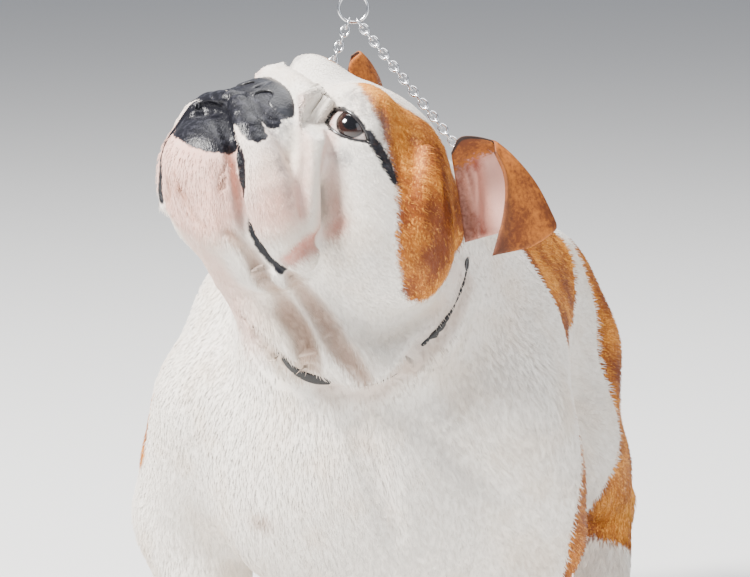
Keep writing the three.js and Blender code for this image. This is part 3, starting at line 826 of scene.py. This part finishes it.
def eyeFinish():
    finish = Finish("wetEye", Roughness=0.12, IOR=1.38, Coat_Roughness=0.02, Coat_Weight=1.0)
    fromMiddle = finish.read("gaze", "Fac")
    where = finish.node("ShaderNodeTexCoord", None, None, "Object")
    streaks = finish.noise(where, 900, 2)
    veins = finish.noise(where, 420, 4, 0.7)
    iris = finish.mix(streaks, (0.006, 0.003, 0.003), (0.035, 0.011, 0.006))
    white = finish.mix(finish.smooth(veins, 0.55, 0.62) * 0.6, (0.70, 0.58, 0.54), (0.50, 0.16, 0.13))
    white = finish.mix(finish.smooth(fromMiddle, 0.62, 0.95), white, (0.42, 0.22, 0.19))
    colour = finish.mix(finish.smooth(fromMiddle, *eye["pupil"]), (0.002, 0.002, 0.003), iris)
    colour = finish.mix(finish.smooth(fromMiddle, *eye["ring"]), colour, (0.010, 0.007, 0.008))
    finish.set("Base Color", finish.mix(finish.smooth(fromMiddle, *eye["iris"]), colour, white))
    return finish.material


wetEye = eyeFinish()


def makeEye(name, side):
    bpy.ops.mesh.primitive_uv_sphere_add(segments=48, ring_count=40, radius=eye["radius"] / 1000)
    ball = bpy.context.object
    ball.name = name
    flat = np.empty(len(ball.data.vertices) * 3)
    ball.data.vertices.foreach_get("co", flat)
    spots = flat.reshape(-1, 3) * 1000
    angle = np.degrees(np.arccos(np.clip(spots[:, 2] / eye["radius"], -1, 1)))
    spots *= (1 + eye["bulge"] * np.clip(1 - (angle / eye["bulgeTo"]) ** 2, 0, 1))[:, None]
    gaze = unit(eye["gaze"] if side > 0 else eye["farGaze"])
    across = unit(np.cross((0, 0, 1), gaze))
    turned = spots @ np.array([across, np.cross(gaze, across), gaze])
    ball.data.vertices.foreach_set("co", place(fromHead(turned + mirroredX(eye["at"], side))).ravel())
    attribute(ball, "gaze", angle / 90)
    ball.data.shade_smooth()
    ball.data.materials.append(wetEye)
    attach(ball, "root")
    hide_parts("left_eye" if side > 0 else "right_eye")


def tubeFaces(rings, sides):
    faces = []
    for i in range(rings - 1):
        for k in range(sides):
            here, after = i * sides, i * sides + sides
            faces.append((here + k, here + (k + 1) % sides, after + (k + 1) % sides, after + k))
    return faces + [tuple(range(sides)), tuple(range((rings - 1) * sides, rings * sides))]


def tube(spots, radii, sides):
    spots = np.array(spots, dtype=float)
    along = unit(np.gradient(spots, axis=0))
    guide = np.array((0.31, 0.52, 0.79))    # any way that no tube runs
    corners, faces = [], []
    side1 = unit(np.cross(along, guide))
    side2 = np.cross(along, side1)
    for i, (spot, radius) in enumerate(zip(spots, radii)):
        for k in range(sides):
            a = 2 * math.pi * k / sides
            corners.append(spot + radius * (math.cos(a) * side1[i] + math.sin(a) * side2[i]))
    return np.array(corners), tubeFaces(len(spots), sides)


# Joins several sets of corners and faces
def joined(parts):
    corners, faces, start = [], [], 0
    for some, rows in parts:
        corners.append(np.asarray(some))
        faces += [tuple(i + start for i in row) for row in rows]
        start += len(some)
    return np.vstack(corners), faces


def plainFinish(name, **constants):
    return Finish(name, **constants).material


lidMargin = dict(spots=21, outside=0.9, upper=1.15, lower=0.8, ends=0.3)


def makeLidMargins():
    parts = []
    for side in (1, -1):
        for upper in (True, False):
            width, count = lidMargin["upper"] if upper else lidMargin["lower"], lidMargin["spots"]
            spots = rimCurve(side, eye["radius"] + lidMargin["outside"], upper, count)
            swell = [0.5 + 0.5 * math.sin(math.pi * i / (count - 1)) for i in range(count)]
            parts.append(tube(fromHead(spots), [width * amount + lidMargin["ends"] for amount in swell], 8))
    margins = newPiece("lidMargins", *joined(parts))
    facesOutward(margins)
    margins.data.materials.append(plainFinish("lidMargin", Base_Color=(0.012, 0.010, 0.011), Roughness=0.3,
                                              Coat_Weight=0.5))
    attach(margins, "root")


makeEye("leftEye", 1)
makeEye("rightEye", -1)
makeLidMargins()
print("eyes done")


# Nose: a pebbled pad with two comma-shaped nostrils

nose = dict(at=(0, -93, -19), size=(31, 18, 16), cell=0.9, low=(-36, -120, -42), high=(36, -68, 2))
nostrils = [
    rope([(10, -90, -17, 3.4), (11.5, -107, -18, 5)], 2),
    rope([(13, -107, -18, 3.2), (20, -107, -22, 2), (27, -104, -23.5, 1.6), (33, -97, -22.5, 1.1)], 6),
]
noseGroove = rope([(0, -103, -8, 0.4), (0, -106, -18, 0.9), (0, -111, -32, 0.9)], 6)


def noseDistance(q):
    half = q.copy()
    half[:, 0] = np.abs(half[:, 0])
    d = headClay.distance(half) - 0.2
    d = -melt(-d, -egg(nose["at"], nose["size"])(half), 2.5)
    for hollow in nostrils:
        d = -melt(-d, hollow(half), 1.7)
    return -melt(-d, noseGroove(half), 3)


def makeNose():
    corners, quads = cast(noseDistance, nose["low"], nose["high"], nose["cell"])
    corners = settle(corners, noseDistance, 2, 1)
    pad = newPiece("nosePad", fromHead(corners), quads)
    facesOutward(pad)
    half = np.abs(corners) * (1, 0, 0) + corners * (0, 1, 1)
    # How deep in a nostril each corner lies, for the painted shade there
    attribute(pad, "hollow", ease(-np.minimum(nostrils[0](half), nostrils[1](half)), -0.9, 0.1))
    finish = Finish("noseLeather", IOR=1.42, Coat_Weight=0.2, Coat_Roughness=0.25)
    where = finish.node("ShaderNodeTexCoord", None, None, "Object")
    pebbles = finish.node("ShaderNodeTexVoronoi", dict(feature="SMOOTH_F1"), {"Vector": where, "Scale": 720})
    blotch = finish.noise(where, 60, 3)
    hollow = finish.read("hollow", "Fac")
    leather = finish.mix(finish.smooth(blotch, 0.4, 0.7), (0.010, 0.010, 0.013), (0.032, 0.034, 0.043))
    # Painted shade: the nostrils are coloured almost black.
    finish.set("Base Color", finish.mix(hollow, leather, (0.0012, 0.001, 0.001)))
    finish.set("Roughness", 0.32 + blotch * 0.25 + hollow * 0.4)
    finish.bump(1 - pebbles, 0.5, 0.0006)
    pad.data.materials.append(finish.material)
    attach(pad, "root")
    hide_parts("nose")


makeNose()
print("nose done")


# Ears: a sheet from its root on the skull up to a ridge, then folded over and down to its free edge

ear = dict(
    root=[(62, 0, 30), (60, 14, 22), (64, 34, 6), (72, 46, -8)],
    wall=[(68, -6, 41), (68, 24, 42), (74, 44, 26), (84, 56, 12)],
    ridge=[(76, 10, 52), (82, 24, 52), (90, 47, 48), (101, 74, 36)],
    flap=[(79, 11, 50), (88, 26, 44), (97, 46, 32), (106, 66, 18)],
    edge=[(82, 12, 47), (91, 24, 38), (97, 36, 20), (103, 46, -6)],
    across=56, down=64, thickness=3.4, rolled=0.7,
    folds=[(3.4, 0.05, 0.05, 0.025), (2.6, 0.14, -0.03, 0.02)],     # height, place, lean and width of each
)
# The right ear stands further ahead, and less of its inside is haired.
earSides = dict(
    leftEar=dict(side=1, node="left_ear", ahead=0, lift=0, hairTo=0.26, rimFrom=0.5),
    rightEar=dict(side=-1, node="right_ear", ahead=20, lift=4, hairTo=0.1, rimFrom=0.62),
)
earColour = dict(
    dark=(0.13, 0.032, 0.007), hair=(0.46, 0.14, 0.018), rim=(0.06, 0.025, 0.018), flesh=(0.64, 0.30, 0.23),
    deep=(0.36, 0.11, 0.075), pale=(0.70, 0.40, 0.33), root=(0.12, 0.04, 0.022), edge=(0.02, 0.012, 0.01),
)


def earSheet(ahead, lift):
    lines = [ear[line] for line in ("root", "wall", "ridge", "flap", "edge")]
    rows = np.empty((ear["across"] + 1, ear["down"] + 1, 3))
    for i in range(ear["across"] + 1):
        across = np.array([curveAt(line, i / ear["across"]) for line in lines])
        for j in range(ear["down"] + 1):
            t = j / ear["down"]
            rows[i, j] = curveAt(across, t)
            rows[i, j] += np.array((0, -ahead, lift)) * ease(t, 0, 0.6)
    return rows


# The sheet's two skins, joined round the border, with folds down the cup and a rolled free edge
def earSolid(rows):
    alongS, alongT = np.gradient(rows, axis=0), np.gradient(rows, axis=1)
    normal = unit(np.cross(alongS, alongT))
    n, m = rows.shape[:2]
    down, back = np.linspace(0, 1, m)[None, :], np.linspace(0, 1, n)[:, None]
    border = np.clip(np.minimum(np.minimum(back, 1 - back) * 14, (1 - down) * 16), 0, 1)
    half = ear["thickness"] / 2 * (1 - 0.35 * down) * np.sqrt(border * (2 - border) + 0.02)
    half = half * (1 + ear["rolled"] * np.exp(-((1 - down) / 0.05) ** 2))
    ridges = sum(high * np.exp(-((down - at - lean * back) / wide) ** 2) * ease(back, 0.12, 0.4)
                 for high, at, lean, wide in ear["folds"])
    inner, outer = rows + normal * (half + ridges)[:, :, None], rows - normal * half[:, :, None]
    count = n * m
    faces = []
    for i in range(n - 1):
        for j in range(m - 1):
            a, b, c, d = i * m + j, (i + 1) * m + j, (i + 1) * m + j + 1, i * m + j + 1
            faces.append((a, b, c, d))
            faces.append((count + a, count + d, count + c, count + b))
    ring = [i * m for i in range(n)] + [(n - 1) * m + j for j in range(1, m)]
    ring += [i * m + m - 1 for i in range(n - 2, -1, -1)] + [j for j in range(m - 2, 0, -1)]
    for a, b in zip(ring, ring[1:] + ring[:1]):
        faces.append((b, a, count + a, count + b))
    isInner = np.repeat([1.0, 0.0], count)
    fromRoot = np.tile(np.tile(np.linspace(0, 1, m), n), 2)
    fromFront = np.tile(np.repeat(np.linspace(0, 1, n), m), 2)
    earPlace = np.column_stack([isInner, fromRoot, fromFront])
    return np.vstack([inner.reshape(-1, 3), outer.reshape(-1, 3)]), faces, earPlace


def earFinish(name, hairTo, rimFrom):
    finish = Finish("earHair" + name, Roughness=0.6, IOR=1.33)
    where = finish.node("ShaderNodeTexCoord", None, None, "Object")
    inside, down, back = finish.split(finish.read("earPlace"))
    broad = finish.noise(where, 45, 3)
    fine = finish.noise(where, 420, 3, 0.6)
    tone = earColour
    hair = finish.mix(finish.smooth(broad + (fine - 0.5) * 0.6, 0.3, 0.75), tone["dark"], tone["hair"])
    hair = finish.mix(finish.smooth(down, 0.86, 1.0) * 0.6, hair, tone["rim"])
    flesh = finish.mix(finish.smooth(broad + (fine - 0.5) * 0.3, 0.38, 0.62), tone["flesh"], tone["deep"])
    flesh = finish.mix(finish.smooth(down, 0.16, 0.24) * finish.smooth(back, 0.15, 0.35), flesh, tone["pale"])
    flesh = finish.mix(finish.smooth(0.16 - down, 0, 0.14) * (0.4 + fine * 0.7), flesh, tone["root"])
    flesh = finish.mix(finish.smooth(hairTo - back + (fine - 0.5) * 0.25, -0.02, 0.06), flesh, hair)
    flesh = finish.mix(finish.smooth(down, rimFrom, rimFrom + 0.12), flesh, hair)
    flesh = finish.mix(finish.smooth(0.035 - back, 0, 0.02), flesh, tone["edge"])
    finish.set("Base Color", finish.mix(finish.smooth(inside, 0.45, 0.55), hair, flesh))
    finish.bump(fine, 0.4, 0.0008)
    return finish.material


def makeEar(name, side, node, ahead, lift, hairTo, rimFrom):
    corners, faces, earPlace = earSolid(earSheet(ahead, lift))
    piece = newPiece(name, fromHead(mirroredX(corners, side)), faces)
    facesOutward(piece)
    attribute(piece, "earPlace", earPlace)
    piece.data.materials.append(earFinish(name, hairTo, rimFrom))
    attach(piece, "root")
    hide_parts(node)


for earName, sizes in earSides.items():
    makeEar(earName, **sizes)
print("ears done")


# Collar: a thin black strap round the throat, a chain up from each end and the ring that joins them

collar = dict(
    stations=[(66, -112, 383), (78, -142, 368), (77, -171, 347), (80, -196, 330), (77, -209, 315),
              (71, -224, 301), (60, -236, 289), (50, -246, 280), (34, -253, 272), (11, -248, 270),
              (-7, -256, 271), (-17, -264, 278), (-27, -267, 290), (-39, -266, 304), (-54, -259, 320),
              (-67, -240, 328), (-73, -209, 337), (-73, -164, 351), (-61, -117, 376)],
    middle=(0, -175, 325), normal=(0, -0.605, 0.796), width=9, thickness=3, rings=160, sides=16,
    ringAt=(-29, -73, 498), ringTurn=0.26, ringLean=0.14, ringRadius=10, ringWire=2,
    linkLength=9.1, linkWire=1.6, linkGap=0.2, linkTwist=12, lift=7,
)
loopMiddle, loopNormal = (np.array(collar[k], dtype=float) for k in ("middle", "normal"))


def makeStrap():
    spots = softCurve(collar["stations"], collar["rings"] - 1)
    along = unit(np.gradient(spots, axis=0))
    out = unit(np.cross(along, loopNormal))
    section = []
    for k in range(collar["sides"]):
        a = 2 * math.pi * (k + 0.5) / collar["sides"]
        c, s = math.cos(a), math.sin(a)
        section.append((math.copysign(abs(c) ** 0.45, c) * collar["width"] / 2,
                        math.copysign(abs(s) ** 0.6, s) * collar["thickness"] / 2))
    corners = np.array([spot + loopNormal * w + away * h
                        for spot, away in zip(spots, out) for w, h in section])
    strap = newPiece("strap", corners, tubeFaces(collar["rings"], collar["sides"]))
    facesOutward(strap)
    finish = Finish("strapLeather", Roughness=0.42, IOR=1.45)
    where = finish.node("ShaderNodeTexCoord", None, None, "Object")
    grain = finish.noise(where, 900, 3)
    finish.set("Base Color", finish.mix(grain, (0.008, 0.008, 0.009), (0.022, 0.021, 0.021)))
    finish.bump(grain, 0.3, 0.0004)
    strap.data.materials.append(finish.material)
    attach(strap, "root")
    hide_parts("collar_strap")


makeStrap()
steel = plainFinish("chainSteel", Base_Color=(0.72, 0.73, 0.75), Metallic=1.0, Roughness=0.18)
ringFrame = turnZ(math.degrees(collar["ringTurn"])) @ turnX(90 - math.degrees(collar["ringLean"]))
ringAt = np.array(collar["ringAt"], dtype=float)


# A torus at the origin, as corners and faces
def torus(radius, wire, around, sides):
    bpy.ops.object.select_all(action="DESELECT")
    bpy.ops.mesh.primitive_torus_add(major_radius=radius, minor_radius=wire / 2, major_segments=around,
                                     minor_segments=sides)
    made = bpy.context.object
    flat = np.empty(len(made.data.vertices) * 3)
    made.data.vertices.foreach_get("co", flat)
    faces = [tuple(face.vertices) for face in made.data.polygons]
    bpy.data.objects.remove(made)
    return flat.reshape(-1, 3), faces


def makeRing():
    corners, faces = torus(collar["ringRadius"], collar["ringWire"], 64, 14)
    ring = newPiece("collarRing", corners @ ringFrame.T + ringAt, faces)
    facesOutward(ring)
    ring.data.materials.append(steel)
    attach(ring, "root")
    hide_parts("collar_ring")


def makeChain(name, node, foot, side):
    foot = foot + unit(foot - loopMiddle) * collar["lift"]
    wire = ringFrame @ np.array((side * 3.4, -collar["ringRadius"] * 0.94, 0)) + ringAt
    wire = wire + unit(wire - foot) * (collar["ringWire"] / 2 + collar["linkWire"] + 0.6)
    run = wire - foot
    length = np.linalg.norm(run)
    up = run / length
    pitch = collar["linkLength"] - 2 * collar["linkWire"] - collar["linkGap"]
    count = round((length - collar["linkLength"]) / pitch) + 1
    step = (length - collar["linkLength"]) / (count - 1)
    radius = collar["linkLength"] * 0.39 - collar["linkWire"] / 2
    corners, faces = torus(radius, collar["linkWire"], 18, 8)
    corners = corners * (1, (collar["linkLength"] - collar["linkWire"]) / 2 / radius, 1)
    side1 = unit(np.cross(up, (0, 1, 0)))
    parts = []
    for i in range(count):
        turn = 0 if (count - 1 - i) % 2 else 90
        turned = corners @ turnY(turn + collar["linkTwist"]).T
        basis = np.column_stack([side1, up, np.cross(side1, up)])
        parts.append((turned @ basis.T + foot + up * (collar["linkLength"] / 2 + step * i), faces))
    chain = newPiece(name, *joined(parts))
    chain.data.materials.append(steel)
    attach(chain, "root")
    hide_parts(node)


makeRing()
makeChain("leftChain", "left_chain", np.array(collar["stations"][0], dtype=float), 1)
makeChain("rightChain", "right_chain", np.array(collar["stations"][-1], dtype=float), -1)
print("collar done")


# Claws

def makeClaws():
    parts = []
    for side in (1, -1):
        for x, y, toe in ((*frontPaw(side), body["frontToe"]), (*hindPaw(side), body["hindToe"])):
            for k in toeSpread:
                start = np.array((x + k * toe * 1.25, y - 22 + k * k * 4 - toe * 0.62, toe * 0.98))
                spots = [start + np.array((k * 0.4, -i * toe * 0.2, -i * i * toe * 0.022)) for i in range(6)]
                parts.append(tube(spots, [toe * 0.2 * (1 - i / 5) ** 0.7 + 0.3 for i in range(6)], 10))
    claws = newPiece("claws", *joined(parts))
    facesOutward(claws)
    claws.data.materials.append(plainFinish("clawHorn", Base_Color=(0.16, 0.11, 0.08), Roughness=0.35))
    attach(claws, "root")


makeClaws()
print("claws done")


# The coat: short tufts that lie along the body

# Lengths and widths of the tufts, how many there are, and how many of them one piece takes at most
coatPlan = dict(
    headTufts=48000, bodyTufts=92000, most=19500, patch=0.003, floor=0.25, soles=2,
    length=dict(body=7.6, head=5.0, face=2.6, feet=3.2), width=dict(body=0.72, head=0.44, face=0.3),
    rise=(0.06, 0.16), astray=0.16, root=0.7, lit=0.3,
)


# Direction in which the hair lies, in the dog's frame
def lie(p, q):
    fore = ease(-p[:, 1], 120, 190) * ease(p[:, 2], 90, 150)
    leg = ease(-p[:, 2], -150, -100)
    onBody = np.column_stack([0 * p[:, 0], 0 * p[:, 0] + 1, 0 * p[:, 0] - 0.45])
    chest = np.column_stack([0.004 * p[:, 0], 0 * p[:, 0] + 0.25, 0 * p[:, 0] - 1])
    down = np.tile((0, 0.12, -1), (len(p), 1))
    way = onBody * (1 - fore)[:, None] + chest * fore[:, None]
    way = way * (1 - leg)[:, None] + down * leg[:, None]
    backward = np.column_stack([0.006 * q[:, 0], 0 * q[:, 0] + 1, 0.004 * (q[:, 2] + 25)]) @ headTurn.T
    onHead = ease(-np.linalg.norm(q, axis=1), -150, -115) * ease(-q[:, 1], -50, -10)
    return unit(way * (1 - onHead)[:, None] + backward * onHead[:, None])


def coatSizes(p, q):
    onHead = ease(-np.linalg.norm(q, axis=1), -150, -120)
    onFace = onHead * ease(-q[:, 1], 20, 70)
    onFeet = ease(-p[:, 2], -60, -30)
    length, width = coatPlan["length"], coatPlan["width"]
    long = length["body"] * (1 - onHead) + length["head"] * onHead
    long = long * (1 - onFace) + length["face"] * onFace
    long = long * (1 - onFeet) + length["feet"] * onFeet
    wide = width["body"] * (1 - onHead) + width["head"] * onHead
    wide = wide * (1 - onFace) + width["face"] * onFace
    return long, wide * (1 - 0.35 * onFeet)


# Tufts are spread evenly over the skin's triangles, closer on the face, and none on bare skin or the soles.
def makeCoat():
    rng = np.random.default_rng(11)
    mesh = skin.data
    mesh.calc_loop_triangles()
    triangles = np.empty(len(mesh.loop_triangles) * 3, dtype=np.int32)
    mesh.loop_triangles.foreach_get("vertices", triangles)
    triangles = triangles.reshape(-1, 3)
    corners = cornersOf(skin)
    normals = np.empty(len(mesh.vertices) * 3)
    mesh.vertices.foreach_get("normal", normals)
    normals = normals.reshape(-1, 3)
    a, b, c = (corners[triangles[:, i]] for i in range(3))
    middle = (a + b + c) / 3
    q = toHead(middle)
    bare = skinMarks["edges"][triangles[:, 0], 2] > -0.5
    area = np.linalg.norm(np.cross(b - a, c - a), axis=1) / 2 * ~bare * (middle[:, 2] > coatPlan["soles"])
    onHead = (np.linalg.norm(q, axis=1) < 140) & (q[:, 1] < 50)
    closer = 1 + 1.2 * ease(-q[:, 1], 10, 60)
    finish = coatFinish()
    for groupName, total, share, order in (
            ("coatHead", coatPlan["headTufts"], np.where(onHead, area, 0) * closer, q[:, 0]),
            ("coatBody", coatPlan["bodyTufts"], np.where(onHead, 0, area), middle[:, 1])):
        evenly = (np.arange(total) + rng.random(total)) / total
        picks = np.searchsorted(np.cumsum(share) / share.sum(), evenly)
        picks = np.minimum(picks, len(share) - 1)
        picks = picks[np.argsort(order[picks], kind="stable")]
        for k, some in enumerate(np.array_split(picks, math.ceil(total / coatPlan["most"]))):
            tuftPiece(f"{groupName}{k + 1}", some, triangles, corners, normals, rng, finish)
    print("coat done")


# A tuft is a thin three-sided blade of ten faces, rooted in the skin and lit as the skin under it is.
tuftSides = [(math.cos(math.radians(angle)), math.sin(math.radians(angle))) for angle in (90, 210, 330)]
tuftFaces = np.array([
    (2, 1, 0), (0, 1, 4), (0, 4, 3), (1, 2, 5), (1, 5, 4), (2, 0, 3), (2, 3, 5),
    (3, 4, 6), (4, 5, 6), (5, 3, 6),
])
tuftFlat = np.array([(-1, -1), (1, -1), (0, -1), (-1, 0), (1, 0), (0, 0), (0, 1)])


def tuftPiece(name, picks, triangles, corners, normals, rng, finish):
    count = len(picks)
    mix = rng.random((count, 2))
    mix = np.where((mix.sum(axis=1) > 1)[:, None], 1 - mix, mix)
    weights = np.column_stack([1 - mix.sum(axis=1), mix])
    rows = triangles[picks]

    def blend(values):
        return np.einsum("ij,ij...->i...", weights, values[rows])
    root, normal = blend(corners), unit(blend(normals))
    q = toHead(root)
    marks = {key: blend(skinMarks[key]) for key in ("edges", "tints", "soil")}
    length, width = coatSizes(root, q)
    length = length * rng.uniform(0.7, 1.25, count)
    width = width * rng.uniform(0.75, 1.25, count)
    way = lie(root, q) + rng.normal(0, coatPlan["astray"], (count, 3))
    way = unit(way - normal * (way * normal).sum(axis=1)[:, None])
    across = np.cross(normal, way)
    rise = rng.uniform(*coatPlan["rise"], count)
    start = root - normal * coatPlan["root"]
    middle = root + way * (length * 0.5)[:, None] + normal * (rise * length * 0.75)[:, None]
    tip = root + way * length[:, None] + normal * (rise * length * 0.95)[:, None]
    spots = np.empty((count, 7, 3))
    lit = np.repeat(normal[:, None], 7, axis=1)
    for k, (c, s) in enumerate(tuftSides):
        spots[:, k] = start + across * (width * c * 0.62)[:, None] + normal * (width * s * 0.34)[:, None]
        spots[:, k + 3] = middle + across * (width * c * 0.5)[:, None] + normal * (width * s * 0.24)[:, None]
        lit[:, [k, k + 3]] += (across * c * coatPlan["lit"])[:, None]
    spots[:, 6] = tip
    spots[:, :, 2] = np.maximum(spots[:, :, 2], coatPlan["floor"] - shift[2])
    faces = (np.arange(count)[:, None, None] * 7 + tuftFaces[None]).reshape(-1, 3)
    mesh = bpy.data.meshes.new(name)
    mesh.vertices.add(count * 7)
    mesh.vertices.foreach_set("co", place(spots.reshape(-1, 3)).ravel())
    mesh.loops.add(faces.size)
    mesh.loops.foreach_set("vertex_index", faces.ravel().astype(np.int32))
    mesh.polygons.add(len(faces))
    mesh.polygons.foreach_set("loop_start", np.arange(0, faces.size, 3, dtype=np.int32))
    mesh.update(calc_edges=True)
    piece = bpy.data.objects.new(name, mesh)
    bpy.context.collection.objects.link(piece)
    mesh.shade_smooth()
    mesh.normals_split_custom_set_from_vertices(unit(lit.reshape(-1, 3)))
    for key, values in (*marks.items(), ("rootPlace", place(root)), ("shade", rng.uniform(0, 1, count) ** 3)):
        attribute(piece, key, np.repeat(values, 7, axis=0))
    # Each tuft takes a small patch at its root's place on six flat views of the skin's own faces.
    facing = np.argmax(np.abs(normal), axis=1)
    tile = facing * 2 + (np.take_along_axis(normal, facing[:, None], 1)[:, 0] > 0)
    low, high = root.min(axis=0), root.max(axis=0)
    flat = np.empty((count, 2))
    for axis in range(3):
        others = [i for i in range(3) if i != axis]
        mine = facing == axis
        flat[mine] = ((root - low) / (high - low))[mine][:, others]
    base = (np.column_stack([tile % 3, tile // 3]) + 0.02 + flat * 0.96) / (3, 2)
    layout = (base[:, None] + tuftFlat[None] * coatPlan["patch"] / 2).reshape(-1, 2)
    uv = mesh.uv_layers.new(name="OFBake")
    uv.data.foreach_set("uv", layout[faces.ravel()].astype(np.float32).ravel())
    mesh.materials.append(finish)
    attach(piece, "root")


makeCoat()


# Floor, light and camera

studio = dict(
    floor=(0.78, 0.78, 0.77), sky=(0.86, 0.9, 1.0), skyStrength=0.4, aim=(0, -0.15, 0.3),
    lamps=dict(
        key=dict(at=(-1.7, -1.9, 3.0), size=0.9, power=540, colour=(1.0, 0.975, 0.94)),
        fill=dict(at=(2.6, -1.6, 1.4), size=2.2, power=30, colour=(0.9, 0.95, 1.0)),
        top=dict(at=(0.3, 0.6, 2.8), size=2.4, power=110, colour=(1.0, 1.0, 1.0)),
    ),
)


def makeLamp(name, at, size, power, colour):
    lamp = bpy.data.lights.new(name, "AREA")
    lamp.size, lamp.energy, lamp.color = size, power, colour
    holder = bpy.data.objects.new(name, lamp)
    holder.location = at
    holder.rotation_euler = (Vector(studio["aim"]) - Vector(at)).to_track_quat("-Z", "Y").to_euler()
    bpy.context.collection.objects.link(holder)


def makeStage():
    bpy.ops.mesh.primitive_plane_add(size=80)
    floor = bpy.context.object
    floor.name = "floor"
    floor.data.materials.append(plainFinish("paleFloor", Base_Color=studio["floor"], Roughness=0.8))
    world = bpy.data.worlds.new("studio")
    bpy.context.scene.world = world
    world.use_nodes = True
    sky = world.node_tree.nodes["Background"]
    sky.inputs["Color"].default_value = (*studio["sky"], 1)
    sky.inputs["Strength"].default_value = studio["skyStrength"]
    for name, lamp in studio["lamps"].items():
        makeLamp(name, **lamp)


view = dict(azimuth=15, elevation=8, aim=(11.6, -167, 318), distance=2.5, lens=180.43)


def makeCamera():
    a, e = math.radians(view["azimuth"]), math.radians(view["elevation"])
    back = Vector((math.sin(a) * math.cos(e), -math.cos(a) * math.cos(e), math.sin(e)))
    lens = bpy.data.cameras.new("camera")
    lens.lens, lens.sensor_width, lens.clip_end = view["lens"], 36, 200
    camera = bpy.data.objects.new("camera", lens)
    camera.location = Vector(place(view["aim"])) + back * view["distance"]
    camera.rotation_euler = (-back).to_track_quat("-Z", "Y").to_euler()
    bpy.context.collection.objects.link(camera)
    bpy.context.scene.camera = camera


makeStage()
makeCamera()
print("stage done")
